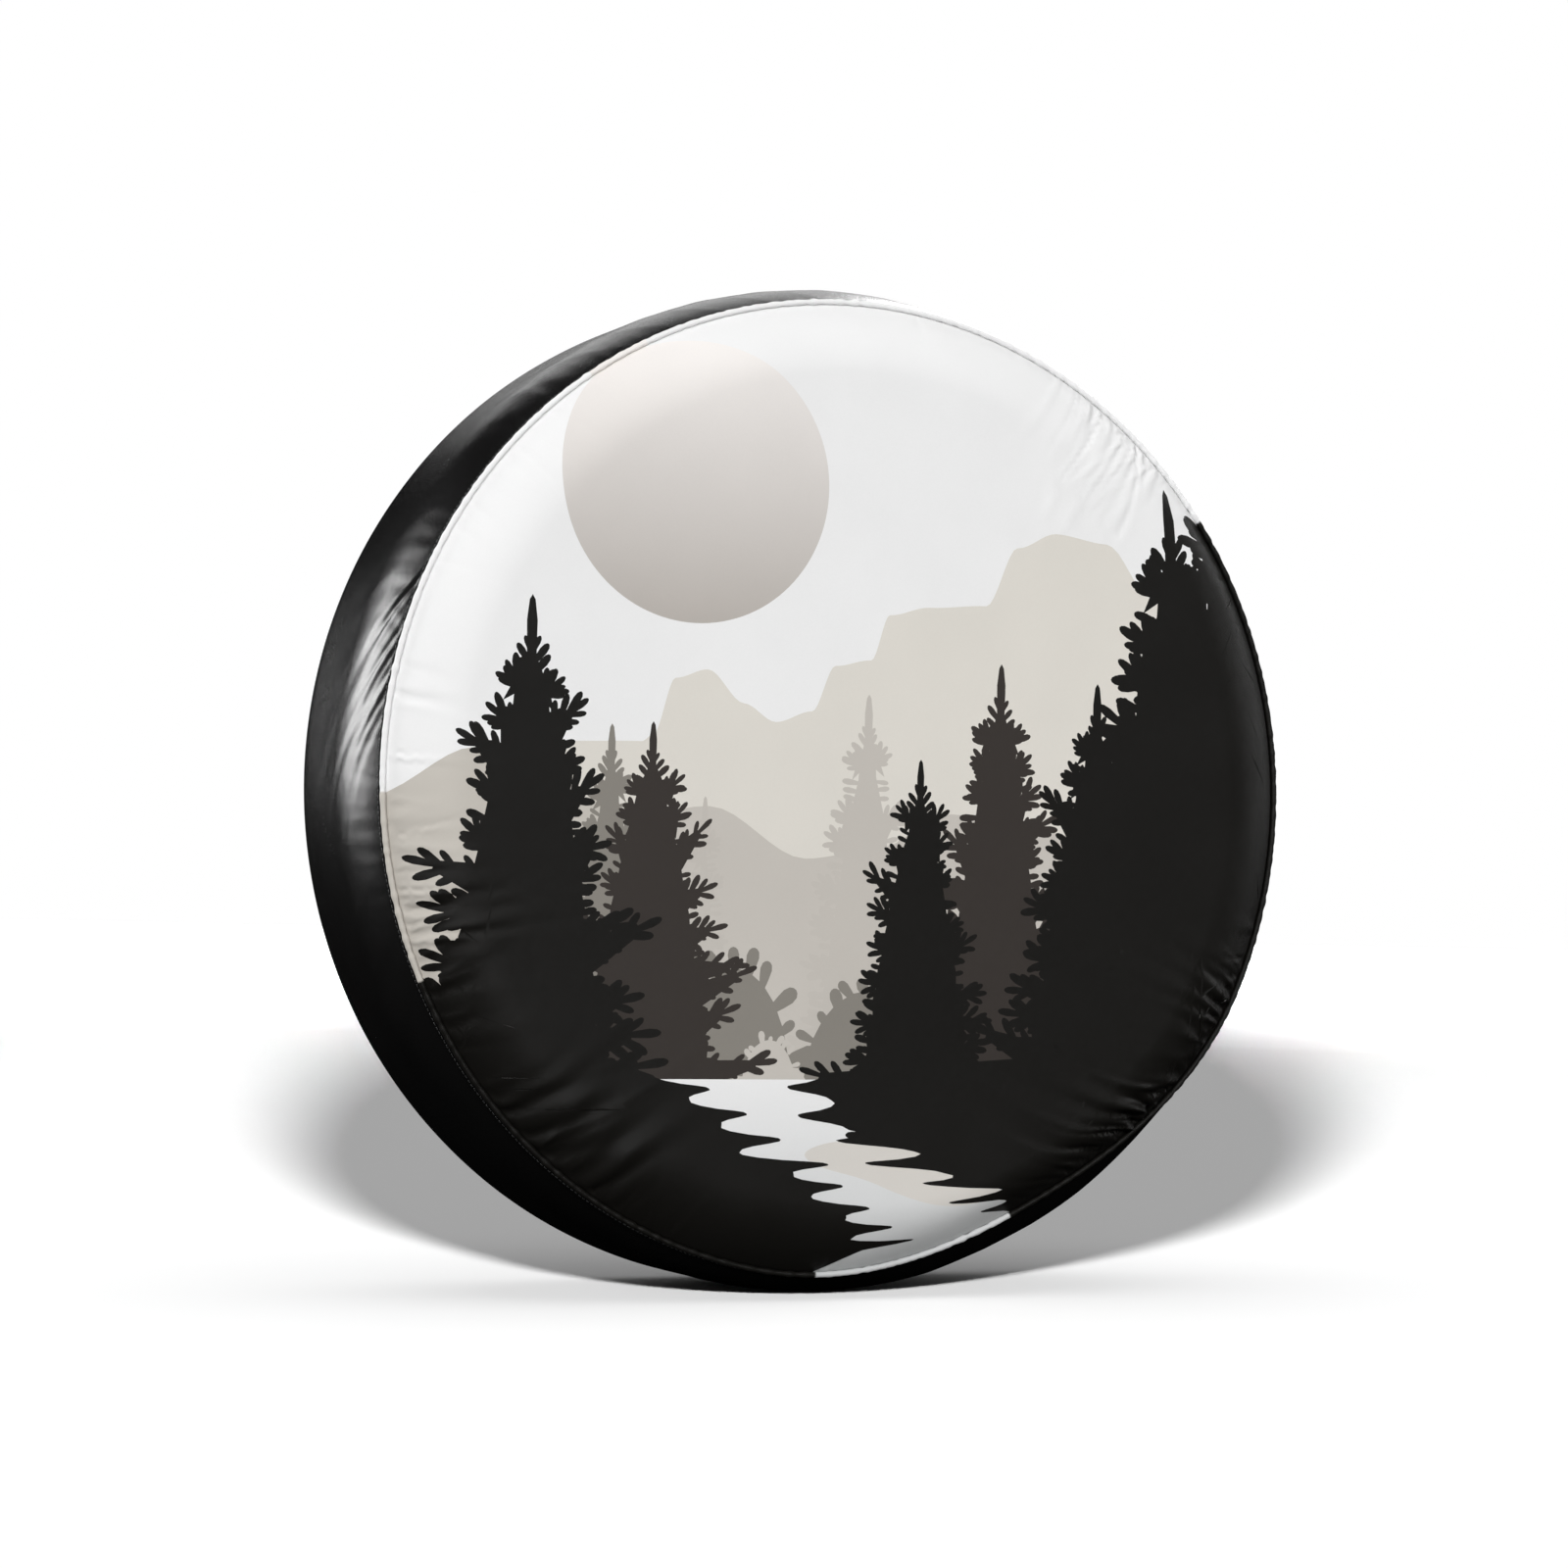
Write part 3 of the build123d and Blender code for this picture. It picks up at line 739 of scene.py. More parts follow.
def inside(points, outline):
    """Which points lie in a closed outline, by the crossings of a ray towards +u."""
    corners = np.array(outline)
    low, high = corners.min(0), corners.max(0)
    near = np.flatnonzero(((points > low) & (points < high)).all(1))
    u, v = points[near].T
    hit = np.zeros(len(near), bool)
    for (u0, v0), (u1, v1) in zip(corners, np.roll(corners, -1, 0)):
        if v0 != v1:
            hit ^= ((v0 > v) != (v1 > v)) & (u < u0 + (v - v0) / (v1 - v0) * (u1 - u0))
    found = np.zeros(len(points), bool)
    found[near[hit]] = True
    return found


def layers_at(layers, points):
    """The number of the topmost printed layer at each point, or -1 for the bare sky."""
    found = np.full(len(points), -1)
    for i, (outlines, _, _) in enumerate(layers):
        for outline in outlines:
            found[inside(points, outline)] = i
    return found


# ---- The printed panel ----

PRINTED_CUT_R = 357 * MM
CUT_EDGE = 1 + (ALLOWANCE_END_Y - SEAM_Y) / SEAM_R
RIM_POINTS = 1080
FINE_BORDER = 0.80
FINE_STEP = 3.0 * MM / SEAM_R
COARSE_STEP = 7.0 * MM / SEAM_R


def circle(radius, count, turn=0.0):
    angle = 2 * math.pi * (np.arange(count) + turn) / count
    return np.stack([radius * np.cos(angle), radius * np.sin(angle)], axis=-1)


def pattern_points():
    """Loose points over the flat sheet: close rings in the border, a triangular grid inside."""
    rings = np.arange(FINE_BORDER, 1.0 - FINE_STEP / 2, FINE_STEP)
    points = [circle(r, round(2 * math.pi * r / FINE_STEP), i / 2) for i, r in enumerate(rings)]
    points.append(circle((1 + CUT_EDGE) / 2, RIM_POINTS // 2))
    across = np.arange(-FINE_BORDER, FINE_BORDER, COARSE_STEP)
    for i, v in enumerate(np.arange(-FINE_BORDER, FINE_BORDER, COARSE_STEP * 0.866)):
        row = np.stack([across + (i % 2) * COARSE_STEP / 2, np.full_like(across, v)], axis=-1)
        points.append(row[np.hypot(*row.T) < FINE_BORDER - FINE_STEP / 2])
    return np.vstack(points)


def printed_pattern(layers):
    """The flat sheet as triangles that follow every printed outline, and each triangle's layer."""
    loops = [circle(CUT_EDGE, RIM_POINTS), circle(1.0, RIM_POINTS)]
    loops += [np.array(outline) for outlines, _, _ in layers for outline in outlines]
    edges = []
    start = 0
    for loop in loops:
        count = len(loop)
        edges += [(start + i, start + (i + 1) % count) for i in range(count)]
        start += count
    points = np.vstack(loops + [pattern_points()])
    cut = delaunay_2d_cdt([Vector(p) for p in points.tolist()], edges, [], 0, 1e-7)
    points = np.array([tuple(p) for p in cut[0]])
    faces = np.array(cut[2])
    centres = points[faces].mean(1)
    kept = np.hypot(*centres.T) < CUT_EDGE
    faces, centres = faces[kept], centres[kept]
    used, faces = np.unique(faces, return_inverse=True)
    return points[used], faces.reshape(-1, 3), layers_at(layers, centres)


def printed_colours(layers, layer_of, heights):
    """A colour for each height in a row per face or point, shaded from its layer's top to foot."""
    colours = np.ones((*heights.shape, 4))
    colours[..., :3] = SKY
    for i, (outlines, top, low) in enumerate(layers):
        ends = np.array([v for outline in outlines for _, v in outline])
        share = (heights[layer_of == i] - ends.min()) / (ends.max() - ends.min())
        share = np.clip(share, 0, 1)[..., None]
        colours[layer_of == i, :, :3] = np.array(low) + (np.array(top) - np.array(low)) * share
    return colours


def seam_colours(layers, x, z):
    """The print's colour where the sewing line passes nearest to points on the piping."""
    seam = np.stack([x, z], axis=-1) / np.hypot(x, z)[:, None] * 0.996
    return printed_colours(layers, layers_at(layers, seam), seam[:, 1:])[:, 0]


def make_front_panel(layers, look):
    flat, faces, layer_of = printed_pattern(layers)
    outside = panel_point(*flat.T)
    normals = normals_of(panel_point, *flat.T)
    count = len(flat)
    edges = {(a, b) for face in faces.tolist() for a, b in zip(face, face[1:] + face[:1])}
    rim = [(b, a, a + count, b + count) for a, b in sorted(edges) if (b, a) not in edges]
    mesh = bpy.data.meshes.new("front_panel")
    points = np.vstack([outside, outside - normals * FABRIC])
    back = faces[:, ::-1] + count
    mesh.from_pydata(points.tolist(), [], faces.tolist() + back.tolist() + rim)
    mesh.shade_smooth()
    mesh.normals_split_custom_set_from_vertices(np.vstack([normals, -normals]).tolist())
    colours = printed_colours(layers, layer_of, flat[faces][..., 1]).reshape(-1, 4)
    plain = np.tile([*SKY, 1.0], (len(mesh.loops) - len(colours), 1))
    attribute = mesh.color_attributes.new("print", "FLOAT_COLOR", "CORNER")
    attribute.data.foreach_set("color", np.vstack([colours, plain]).ravel())
    on_back = np.zeros(len(mesh.polygons), int)
    on_back[len(faces):] = 1
    mesh.polygons.foreach_set("material_index", on_back)
    panel = show("printed_front", mesh)
    dress(panel, "cover", "printed_coated_fabric", look, knit_backing())
    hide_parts("front_panel")
    flat = (2 * PRINTED_CUT_R, 2 * PRINTED_CUT_R)


# ---- The band, the back and the tapes: rings from outlines of (radius, depth, out, back, place) ----

def outline_rows(line, places, inset=0.0):
    """Outline rows along a line, set in from its face; lifted along its outward direction."""
    radius, depth, out, back = line(np.asarray(places))
    return list(zip(radius - inset * out, depth - inset * back, out, back, places))


def ring(name, rows, columns, lift=None, fold=None):
    """A ring about the wheel's axis. lift moves a point outwards and fold moves it back."""
    radius, depth, out, back, place = (np.tile(column, (columns, 1)) for column in zip(*rows))
    angle = np.broadcast_to(ring_angles(columns)[:, None], radius.shape)
    if lift:
        amount = lift(angle, place)
        radius, depth = radius + amount * out, depth + amount * back
    if fold:
        depth = depth + fold(angle, place)
    return grid_mesh(name, np.stack([radius * np.cos(angle), depth, radius * np.sin(angle)], axis=-1))


def plain_rows(corners):
    """Outline rows that nothing moves."""
    return [(radius, depth, 0.0, 0.0, 0.0) for radius, depth in corners]


def cloth(obj, node, slot, look):
    """Gives a sewn sheet its body and its material, and hides the CAD node that it replaces."""
    dress(obj, "cover", slot, look)
    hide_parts(node)


def make_tread_band(black):
    puckered = 24 * MM
    fine = np.arange(0, puckered, 1.5 * MM)
    coarse = np.arange(puckered, BAND_LENGTH, 3.6 * MM)
    outer = np.concatenate([fine, coarse, [BAND_LENGTH]])
    inner = outer[outer > 1.4 * MM][::-1]
    turned_in = SEAM_R + TAPE
    rows = plain_rows([(turned_in, ALLOWANCE_END_Y), (turned_in, BAND_START[1] + 0.2 * MM)])
    rows += outline_rows(band_line, outer) + outline_rows(band_line, inner, FABRIC)
    rows += plain_rows([(turned_in + FABRIC, BAND_START[1] + 2 * MM), (turned_in + FABRIC, ALLOWANCE_END_Y)])
    band = ring("tread_band_cloth", rows, 720, band_lift)
    cloth(band, "tread_band", "black_coated_fabric", black)


def piping_rows(radius, turns):
    """Outline rows round the middle of the piping."""
    across, along = WELT_CENTRE
    return [
        (across + radius * math.cos(a), along + radius * math.sin(a), math.cos(a), math.sin(a), 1.0)
        for a in turns
    ]


def make_welt(layers, look):
    """A bias strip round the piping cord, its two edges together in the seam."""
    strip = 0.38 * MM
    turns = np.radians(np.linspace(113.6, 143.1 - 360, 22))
    half = TAPE / 2
    gap = 0.02 * MM
    rows = plain_rows([(SEAM_R + TAPE, ALLOWANCE_END_Y)]) + piping_rows(WELT_R, turns)
    rows += plain_rows([(SEAM_R, ALLOWANCE_END_Y), (SEAM_R + half - gap, ALLOWANCE_END_Y)])
    rows += piping_rows(WELT_R - strip, turns[::-1])
    rows += plain_rows([(SEAM_R + half + gap, ALLOWANCE_END_Y)])

    def lift(angle, place):
        return place * (0.16 * ripples(angle, 165, 91) + 0.10 * ripples(angle, 330, 92)) * MM

    welt = ring("front_welt", rows, 1440, lift)
    place = np.empty(3 * len(welt.data.vertices))
    welt.data.vertices.foreach_get("co", place)
    attribute = welt.data.color_attributes.new("print", "FLOAT_COLOR", "POINT")
    attribute.data.foreach_set("color", seam_colours(layers, place[0::3], place[2::3]).ravel())
    cloth(welt, "front_welt_cover", "printed_coated_fabric", look)


def make_piping_cord(look):
    """The foam cord in the piping, a little uneven along its length."""
    core = piping_rows(WELT_CORD_R, ring_angles(14))
    cord = ring("piping_cord", core, 720, lambda angle, place: 0.08 * MM * ripples(angle, 140, 93))
    dress(cord, "cover", "filler_cord", look)
    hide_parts("front_welt_cord")


def make_front_binding(tape):
    """Tape folded over the raw edges of the front seam, inside."""
    inner_r, outer_r = SEAM_R - FABRIC, SEAM_R + TAPE + FABRIC
    low_r, high_r = inner_r - TAPE, outer_r + TAPE
    end = ALLOWANCE_END_Y
    start, outer_start = end - 6.5 * MM, end - 5.5 * MM
    crown = end + TAPE
    corner = TAPE * 0.3
    corners = [
        (low_r, start), (low_r, crown - corner), (low_r + corner, crown),
        (high_r - corner, crown), (high_r, crown - corner), (high_r, outer_start),
        (outer_r, outer_start), (outer_r, end), (inner_r, end), (inner_r, start),
    ]
    rows = [(radius, depth, 0.0, 1.0, 0.0) for radius, depth in corners]
    binding = ring("front_seam_tape", rows, 720, lambda angle, place: 0.12 * MM * ripples(angle, 190, 93))
    cloth(binding, "front_seam_binding", "binding_tape", tape)


def shoulder_line(radius):
    """The rear shoulder at a radius from its centre, by angle from the tread."""
    def line(angle):
        out, back = np.cos(angle), np.sin(angle)
        return SHOULDER_CENTRE_R + radius * out, TREAD_END_Y + radius * back, out, back
    return line


def make_rear_skirt(black):
    outer_r = SHOULDER_R - FABRIC

    def rows_at(inset):
        around = np.linspace(SKIRT_LAP, math.pi / 2, 14)
        shoulder = outline_rows(shoulder_line(outer_r), around, inset)
        shoulder = [(r, y, out, back, SHOULDER_CENTRE_R + outer_r * out) for r, y, out, back, _ in shoulder]
        flat = np.linspace(SHOULDER_CENTRE_R, SKIRT_EDGE_R, 24)[1:]
        return shoulder + [(r, SKIRT_Y - inset, 0.0, 1.0, r) for r in flat]

    def lift(angle, place):
        return lap_pucker(angle, np.arccos(np.clip((place - SHOULDER_CENTRE_R) / outer_r, 0, 1)))

    skirt = ring("rear_skirt_cloth", rows_at(0.0) + rows_at(FABRIC)[::-1], 960, lift, hem_fold)
    cloth(skirt, "rear_skirt", "black_coated_fabric", black)


def make_rear_tape(tape):
    outer = SHOULDER_R - 2 * FABRIC
    around = np.radians(np.linspace(50.5, 58.5, 6))
    rows = outline_rows(shoulder_line(outer), around)
    rows += outline_rows(shoulder_line(outer - TAPE), around[::-1])
    strip = ring("rear_lap_tape", rows, 720, lap_pucker)
    cloth(strip, "rear_seam_tape", "binding_tape", tape)


def hem_puff(angle, radius):
    """How far the casing's gathers stand out round the elastic."""
    clear_of_lock = off_bottom(angle, math.radians(4), math.radians(5))
    gathers = 0.5 + 0.5 * creased(ripples(angle, 132, 81))
    inside_lip = smooth((CASING_LIP_R + 2 * MM - radius) / (5 * MM))
    return (0.15 + 1.15 * gathers) * MM * clear_of_lock * inside_lip


def make_hem_casing(black):
    lip = FABRIC / 2

    def rows_at(inset):
        half = CASING_HALF - inset
        lip_half = lip + CASING_WALL - inset
        nose_r = HEM_OPENING_R + CASING_HALF
        side = [(CASING_EDGE_R, lip_half), (CASING_LIP_R, lip_half), (CASING_STRAIGHT_R, half)]
        side += [(nose_r + past * MM, half) for past in (6, 3, 0)]
        front = [(r, HEM_Y - h, 0.0, -1.0, r) for r, h in side]
        rear = [(r, HEM_Y + h, 0.0, 1.0, r) for r, h in side[::-1]]
        turns = np.radians(np.linspace(-90, -270, 9)[1:-1])
        nose = [(nose_r + half * math.cos(a), HEM_Y + half * math.sin(a), math.cos(a), math.sin(a), nose_r)
                for a in turns]
        return front + nose + rear

    casing = ring("hem_casing_cloth", rows_at(0.0) + rows_at(CASING_WALL)[::-1], 1200, hem_puff, hem_fold)
    cloth(casing, "hem_casing", "black_coated_fabric", black)


def thick_patch(name, points, normals, thickness):
    """A closed sheet from a grid of points on its outer face."""
    layers = np.stack([points, points - normals * thickness])
    across = points.shape[1]
    loop = np.concatenate([layers[0], layers[1][:, ::-1]], axis=1)
    patch = grid_mesh(name, loop, wrap_rows=False)

    def close_ends(work):
        work.verts.ensure_lookup_table()
        for first in (0, (len(loop) - 1) * 2 * across):
            last = first + 2 * across - 1
            for i in range(across - 1):
                corners = (first + i, first + i + 1, last - 1 - i, last - i)
                work.faces.new([work.verts[c] for c in corners])

    finish_mesh(patch.data, close_ends)
    return patch


def make_join_tape(tape):
    """A strip inside the cylinder, over the seam that closes the band."""
    low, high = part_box("tread_band_join_tape")
    rows, columns = np.linspace(low.y, high.y, 34), np.linspace(low.x, high.x, 14)
    depth, across = np.meshgrid(rows, columns, indexing="ij")
    angle = BOTTOM + across / TREAD_R
    lift = band_lift(angle, BAND_ARC + depth - TREAD_START_Y)
    radius = TREAD_R - FABRIC - 0.05 * MM + lift
    out = np.stack([np.cos(angle), np.zeros_like(angle), np.sin(angle)], axis=-1)
    points = out * radius[..., None]
    points[..., 1] += depth
    strip = thick_patch("band_join_tape", points, out, TAPE - 0.1 * MM)
    cloth(strip, "tread_band_join_tape", "binding_tape", tape)


def make_care_label(look):
    """A blank satin label inside the skirt, caught under the casing and curling away."""
    middle = (label_low + label_high) / 2
    angle = math.atan2(middle.z, middle.x)
    width, height = 32 * MM, 46 * MM
    rows, columns = np.linspace(0, height, 30), np.linspace(-width / 2, width / 2, 18)
    far, aside = np.meshgrid(rows, columns, indexing="ij")
    radius = CASING_EDGE_R + 1 * MM + far
    here = angle + aside / radius
    curl = 0.6 * MM + 3.0 * MM * (far / height) ** 2 + 0.5 * MM * np.sin(far * 160 + aside * 60)
    skirt_inside = SKIRT_Y - FABRIC + hem_fold(np.full_like(here, angle), radius) * 0.6
    depth = skirt_inside - 2.2 * MM * smooth(far / (9 * MM)) - curl
    points = np.stack([radius * np.cos(here), depth, radius * np.sin(here)], axis=-1)
    facing = np.zeros_like(points)
    facing[..., 1] = -1.0
    label = thick_patch("care_label_cloth", points, facing, 0.3 * MM)
    cloth(label, "care_label", "label_satin", look)


# ---- Thread ----

def stitches(name, places, outward, length, radius, look):
    """A row of sewn stitches: short rounded threads whose ends dive into the cloth."""
    along = np.roll(places, -1, 0) - np.roll(places, 1, 0)
    along /= np.linalg.norm(along, axis=1, keepdims=True)
    aside = np.cross(along, outward)
    # Reach along the stitch, thickness and rise, as shares of its half length and radius
    steps = [(-1.0, 0.5, -0.9), (-0.75, 0.9, 0.1), (0.0, 1.0, 0.45), (0.75, 0.9, 0.1), (1.0, 0.5, -0.9)]
    sides = 6
    rings = []
    for reach, size, rise in steps:
        centre = places + along * reach * length / 2 + outward * rise * radius
        for turn in ring_angles(sides):
            rings.append(centre + (aside * math.cos(turn) + outward * math.sin(turn)) * size * radius)
    points = np.stack(rings, axis=1)
    walls = []
    for first in range(0, (len(steps) - 1) * sides, sides):
        for side in range(sides):
            a, b = first + side, first + (side + 1) % sides
            walls.append((a, b, b + sides, a + sides))
    starts = np.arange(len(places)) * len(rings)
    faces = (np.array(walls)[None] + starts[:, None, None]).reshape(-1, 4).tolist()
    caps = [range(sides)[::-1], range(len(rings) - sides, len(rings))]
    faces += [[start + corner for corner in cap] for start in starts.tolist() for cap in caps]
    mesh = bpy.data.meshes.new(name)
    mesh.from_pydata(draw_seam_in(points.reshape(-1, 3)).tolist(), [], faces)
    mesh.shade_smooth()
    dress(show(name, mesh), "cover", "black_coated_fabric", look)


def sew_round(name, angle, radius, depth, out, back, length, thickness, look):
    """A row of stitches round the wheel, at each angle's radius and depth."""
    radius, out, back = (np.broadcast_to(value, angle.shape) for value in (radius, out, back))
    places = np.stack([radius * np.cos(angle), depth, radius * np.sin(angle)], axis=-1)
    outward = np.stack([out * np.cos(angle), back, out * np.sin(angle)], axis=-1)
    stitches(name, places, outward, length, thickness / 2, look)


def sew_band(name, along, pitch, length, thickness, look):
    """A row of stitches through the band, some way back from its front seam."""
    base_r, base_y, out, back = (float(value) for value in band_line(np.array(along)))
    angle = ring_angles(round(2 * math.pi * base_r / pitch))
    lift = band_lift(angle, np.full_like(angle, along))
    sew_round(name, angle, base_r + lift * out, base_y + lift * back, out, back, length, thickness, look)


def sew_casing(look):
    """The two faces of the row that closes the casing on the skirt."""
    radius = CASING_LIP_R + 1.5 * MM
    half = FABRIC / 2 + CASING_WALL
    angle = ring_angles(430)
    middle_y = HEM_Y + hem_fold(angle, np.full_like(angle, radius))
    for name, side in (("casing_stitches_rear", 1.0), ("casing_stitches_front", -1.0)):
        depth = middle_y + side * half
        sew_round(name, angle, radius, depth, 0.0, side, 2.5 * MM, 0.48 * MM, look)


# ---- The elastic and its hardware ----

EYELET_Z = (eyelet_low.z + eyelet_high.z) / 2
EYELET_X = 6 * MM
LEG_X = 1.75 * MM
LEG_Y = 112 * MM
LEG_GATHER_Z = -238 * MM
LEG_END_Z = -291 * MM


def rounded(corners, radii, step=0.2 * MM):
    """A polyline with its inner corners rounded, each bend as close points."""
    corners = [Vector(corner) for corner in corners]
    points = [corners[0]]
    for before, corner, after, radius in zip(corners, corners[1:], corners[2:], radii):
        inward, onward = (before - corner).normalized(), (after - corner).normalized()
        half = inward.angle(onward) / 2
        middle = corner + (inward + onward).normalized() * radius / math.sin(half)
        reach = radius / math.tan(half)
        first, last = corner + inward * reach - middle, corner + onward * reach - middle
        sweep = first.angle(last)
        count = max(3, round(sweep * radius / step))
        start, end = first.normalized(), last.normalized()
        points += [middle + start.slerp(end, i / count) * radius for i in range(count + 1)]
    return points + [corners[-1]]


def elastic_line():
    """The elastic's route: one leg, round the hem inside the casing, and the other leg."""
    eyelet_r = math.hypot(EYELET_X, EYELET_Z)
    from_bottom = math.asin(EYELET_X / eyelet_r) + math.acos(CORD_RING_R / eyelet_r)
    start = BOTTOM - from_bottom
    turn = 2 * math.pi - 2 * from_bottom
    ring_start = Vector((CORD_RING_R * math.cos(start), HEM_Y, CORD_RING_R * math.sin(start)))
    leg = rounded([
        (-LEG_X, LEG_Y, LEG_END_Z), (-LEG_X, LEG_Y, LEG_GATHER_Z), (-EYELET_X, LEG_Y, EYELET_Z),
        (-EYELET_X, HEM_Y, EYELET_Z), ring_start,
    ], [30 * MM, 4.6 * MM, 3.4 * MM])
    turns = [start - turn * i / 1200 for i in range(1, 1200)]
    loop = [Vector((CORD_RING_R * math.cos(a), HEM_Y, CORD_RING_R * math.sin(a))) for a in turns]
    other = [Vector((-p.x, p.y, p.z)) for p in leg[::-1]]
    return np.array([tuple(p) for p in leg + loop + other])


def make_elastic(look):
    """A braided tube along the route, its crossing strands raised from the surface."""
    line = elastic_line()
    steps = np.linalg.norm(np.diff(line, axis=0), axis=1)
    far = np.concatenate([[0.0], np.cumsum(steps)])
    along = np.arange(0, far[-1], 0.75 * MM)
    centres = np.stack([np.interp(along, far, line[:, i]) for i in range(3)], axis=-1)
    tangents = np.gradient(centres, axis=0)
    tangents /= np.linalg.norm(tangents, axis=1, keepdims=True)
    first = np.cross(tangents, [0.0, 1.0, 0.0])
    weak = np.linalg.norm(first, axis=1) < 0.3
    first[weak] = np.cross(tangents[weak], [0.0, 0.0, 1.0])
    side = [first[0] / np.linalg.norm(first[0])]
    for tangent in tangents[1:]:
        onward = side[-1] - tangent * side[-1].dot(tangent)
        side.append(onward / np.linalg.norm(onward))
    side = np.array(side)
    up = np.cross(tangents, side)
    turns = ring_angles(20)
    twist = 2 * math.pi * along[:, None] / (7 * MM)
    strands = np.maximum(np.cos(5 * turns + twist), np.cos(5 * turns - twist))
    radius = CORD_R * (0.91 + 0.09 * strands)[..., None]
    points = centres[:, None] + radius * (
        side[:, None] * np.cos(turns)[None, :, None] + up[:, None] * np.sin(turns)[None, :, None])
    tube = grid_mesh("braided_cord", points, wrap_rows=False)

    def close_ends(work):
        bmesh.ops.holes_fill(work, edges=[edge for edge in work.edges if edge.is_boundary])

    finish_mesh(tube.data, close_ends)
    dress(tube, "cover", "elastic", look)
    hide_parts("elastic_cord")


def paint(node, look):
    """A better material for a CAD piece whose shape is right."""
    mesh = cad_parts[node].data
    mesh.materials.clear()
    mesh.materials.append(look)


# ---- Camera, floor and light ----

CAMERA_AZIMUTH = -23.44    # degrees, as direction() takes them
CAMERA_ELEVATION = -2.10
CAMERA_ROLL = math.radians(1.17)
CAMERA_DISTANCE = 2.704
SENSOR_WIDTH = 36.0
FOCAL_SHARE = 2.4          # focal length over the frame's width
AIM_LEFT = 14.4 * MM       # the aim passes this far left of the origin, and this far above it
AIM_ABOVE = 4.9 * MM
FLOOR_LAMP_HEIGHT = 0.78
FLOOR_REACH = 120.0
GLOW_START, GLOW_END = 6.0, 13.0    # where the floor's glow begins and is full


def direction(azimuth, elevation):
    """A unit vector towards a place seen from the origin; azimuth 0 is -Y and 90 is +X."""
    turn, rise = math.radians(azimuth), math.radians(elevation)
    return Vector((math.sin(turn) * math.cos(rise), -math.cos(turn) * math.cos(rise), math.sin(rise)))


def make_camera():
    back = direction(CAMERA_AZIMUTH, CAMERA_ELEVATION)
    level = direction(CAMERA_AZIMUTH + 90, 0)
    upright = back.cross(level)
    right = math.cos(CAMERA_ROLL) * level + math.sin(CAMERA_ROLL) * upright
    above = math.cos(CAMERA_ROLL) * upright - math.sin(CAMERA_ROLL) * level
    aim = above * AIM_ABOVE - right * AIM_LEFT
    eye = back * CAMERA_DISTANCE
    back = (eye - aim).normalized()
    right = above.cross(back).normalized()
    above = back.cross(right)
    camera = show("camera", bpy.data.cameras.new("camera"))
    camera.data.sensor_width = SENSOR_WIDTH
    camera.data.lens = SENSOR_WIDTH * FOCAL_SHARE
    camera.data.clip_end = 500.0
    camera.matrix_world = Matrix((
        (right.x, above.x, back.x, eye.x), (right.y, above.y, back.y, eye.y),
        (right.z, above.z, back.z, eye.z), (0, 0, 0, 1)))
    bpy.context.scene.camera = camera


def add_light(name, kind, towards, distance, power, **settings):
    light = bpy.data.lights.new(name, kind)
    light.energy = power
    for key, value in settings.items():
        setattr(light, key, value)
    obj = show(name, light)
    obj.location = towards * distance
    obj.rotation_euler = towards.to_track_quat("Z", "Y").to_euler()
    obj.visible_camera = False
    return obj


def make_even(lamp):
    """Make a lamp's light on the floor even: its strength grows with the cube of the distance."""
    lamp.data.use_nodes = True
    nodes, links = lamp.data.node_tree.nodes, lamp.data.node_tree.links
    falloff = nodes.new("ShaderNodeLightFalloff")
    falloff.inputs["Strength"].default_value = 1.0
    rays = nodes.new("ShaderNodeLightPath")
    product = nodes.new("ShaderNodeMath")
    product.operation = "MULTIPLY"
    links.new(falloff.outputs["Constant"], product.inputs[0])
    links.new(rays.outputs["Ray Length"], product.inputs[1])
    links.new(product.outputs[0], nodes["Emission"].inputs["Strength"])


def light_only(lights, ground, state):
    """Let lights reach the floor alone (INCLUDE) or everything but the floor (EXCLUDE)."""
    reached = bpy.data.collections.new("reached_" + state.lower())
    reached.objects.link(ground)
    reached.collection_objects[0].light_linking.link_state = state
    for light in lights:
        light.light_linking.receiver_collection = reached


def pale_floor():
    """A pale matt floor that glows white far from the object, where the lamps don't reach."""
    look = Look("pale_floor", Base_Color=grey(0.95), Specular_IOR_Level=0.0, Emission_Color=grey(1.0))
    away = look.node("VectorMath", {0: look.place}, operation="LENGTH").outputs["Value"]
    glow = look.spread(away, GLOW_START, GLOW_END, 0.0, 1.0)
    look.feed(look.shader.inputs["Emission Strength"], glow)
    look.material.cycles.emission_sampling = "NONE"
    return look.finish(roughness=0.9)


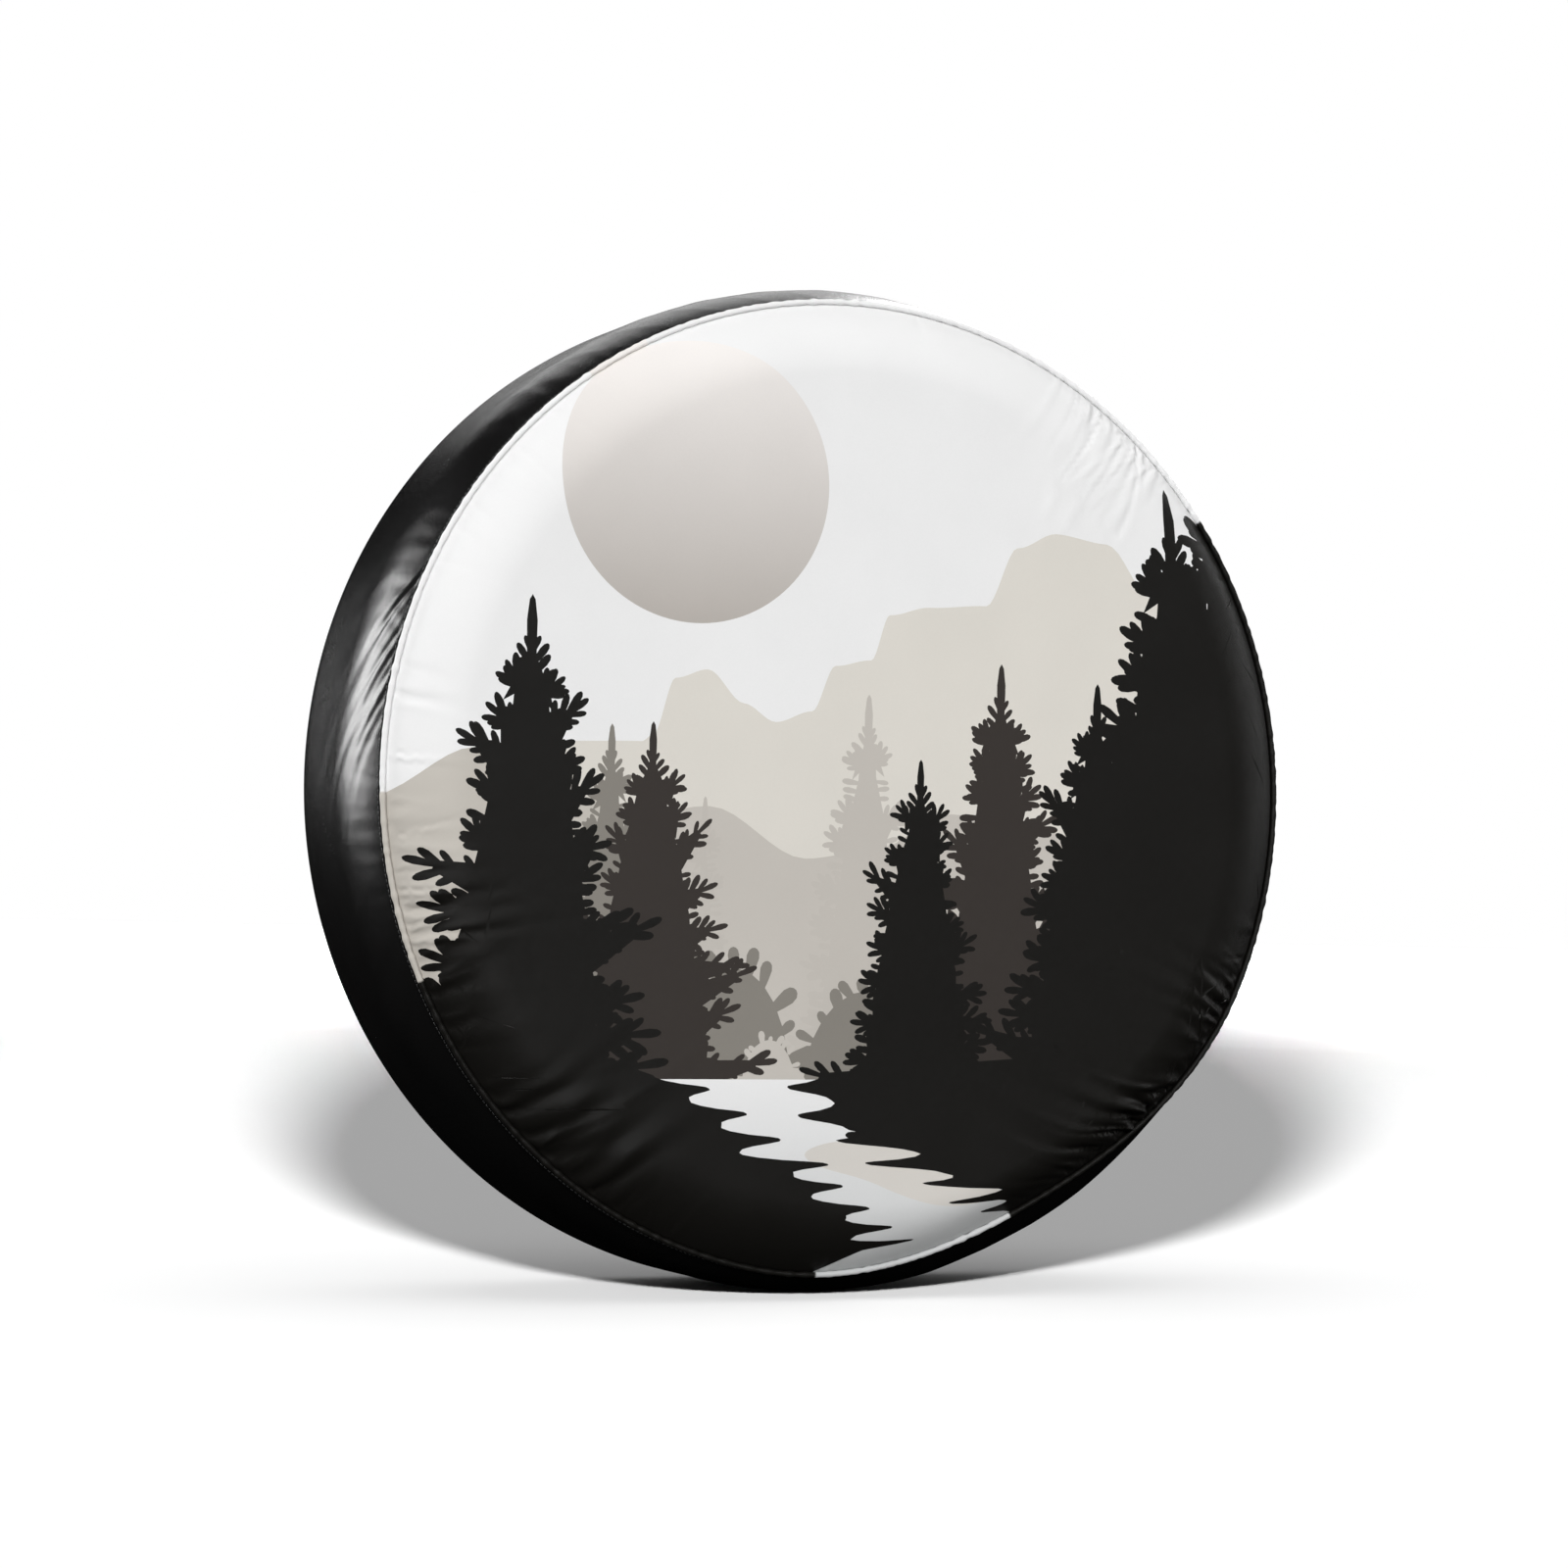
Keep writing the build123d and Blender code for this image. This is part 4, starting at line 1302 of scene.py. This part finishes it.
def make_studio(floor_z):
    on_object = [
        add_light("key_right", "SUN", direction(-3, 19), 4, 1.94, angle=math.radians(13)),
        add_light("key_left", "SUN", direction(-46, 16), 4, 1.22, angle=math.radians(13)),
    ]
    # Azimuth, elevation, distance, power, width and height
    soft_boxes = {
        "overhead": (-30, 66, 2.6, 15, 3.4, 2.4),
        "rear": (130, 30, 3.0, 60, 1.6, 1.6),
        "rear_top": (158, 40, 3.0, 14, 2.6, 1.6),
        "strip_left": (-123, 13, 2.8, 52, 1.4, 1.3),
        "strip_right": (88, 10, 2.6, 10, 0.5, 1.2),
    }
    for name, (azimuth, elevation, distance, power, wide, tall) in soft_boxes.items():
        on_object.append(add_light(name, "AREA", direction(azimuth, elevation), distance, power,
                                   shape="RECTANGLE", size=wide, size_y=tall))
    lamp = add_light("floor_lamp", "POINT", direction(-24.5, 0), 2.3, 35, shadow_soft_size=0.09)
    lamp.location.z = floor_z + FLOOR_LAMP_HEIGHT
    make_even(lamp)
    on_floor = [lamp, add_light("floor_top", "SUN", direction(0, 89), 4, 0.86, angle=math.radians(60))]
    floor = bpy.data.meshes.new("floor")
    corners = [(x * FLOOR_REACH, y * FLOOR_REACH, floor_z) for x, y in ((-1, -1), (1, -1), (1, 1), (-1, 1))]
    floor.from_pydata(corners, [], [(0, 1, 2, 3)])
    ground = show("floor", floor)
    ground.visible_glossy = False
    ground.visible_diffuse = False
    floor.materials.append(pale_floor())
    ground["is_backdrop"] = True
    light_only(on_object, ground, "EXCLUDE")
    light_only(on_floor, ground, "INCLUDE")


def make_world(seen, ambient, mirrored):
    """White where the camera looks past the floor, dimmer as a light and in reflections."""
    world = bpy.data.worlds.new("studio")
    bpy.context.scene.world = world
    world.use_nodes = True
    nodes, links = world.node_tree.nodes, world.node_tree.links
    background = nodes["Background"]
    background.inputs["Color"].default_value = (1, 1, 1, 1)
    rays = nodes.new("ShaderNodeLightPath")
    total = mirrored
    for ray, level in (("Is Camera Ray", seen), ("Is Diffuse Ray", ambient)):
        share = nodes.new("ShaderNodeMath")
        share.operation = "MULTIPLY_ADD"
        links.new(rays.outputs[ray], share.inputs[0])
        share.inputs[1].default_value = level - mirrored
        if isinstance(total, float):
            share.inputs[2].default_value = total
        else:
            links.new(total, share.inputs[2])
        total = share.outputs[0]
    links.new(total, background.inputs["Strength"])


def build():
    black = black_fabric("black_coated_fabric", 0.22, 0.0045)
    back_black = black_fabric("black_back_fabric", 0.33, 0.011)
    tape = woven_tape("binding_tape", 0.035)
    sewing = thread()
    elastic = braided_elastic()
    plastic = moulded_plastic("lock_plastic", 0.018)
    nickel = plated_metal("nickel", 0.55, 0.24)
    layers = artwork()
    printed = printed_fabric()
    make_front_panel(layers, printed)
    make_piping_cord(moulded_plastic("foam_cord", 0.6))
    make_welt(layers, printed)
    make_tread_band(black)
    make_front_binding(tape)
    make_rear_skirt(back_black)
    make_rear_tape(tape)
    make_hem_casing(back_black)
    make_join_tape(tape)
    make_care_label(satin())
    sew_band("front_stitches", 2.1 * MM, 3.5 * MM, 2.7 * MM, 0.54 * MM, sewing)
    for name, around in (("lap_stitches_outer", 52.5), ("lap_stitches_inner", 57.5)):
        along = BAND_ARC + BAND_FLAT + SHOULDER_R * math.radians(around)
        sew_band(name, along, 3.8 * MM, 2.9 * MM, 0.52 * MM, sewing)
    sew_casing(sewing)
    make_elastic(elastic)
    paint("cord_end_knot", elastic)
    for node in ("cord_eyelets", "cord_eyelet_washers"):
        paint(node, nickel)
    for node in ("cord_lock_body", "cord_lock_plunger", "cord_end_bell"):
        paint(node, plastic)
    paint("cord_lock_spring", plated_metal("spring_wire", 0.5, 0.2))
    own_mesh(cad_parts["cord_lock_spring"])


build()
make_camera()
make_studio(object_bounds()[0].z)
make_world(1.0, 0.12, 0.0)
bpy.context.scene.view_settings.view_transform = "Standard"
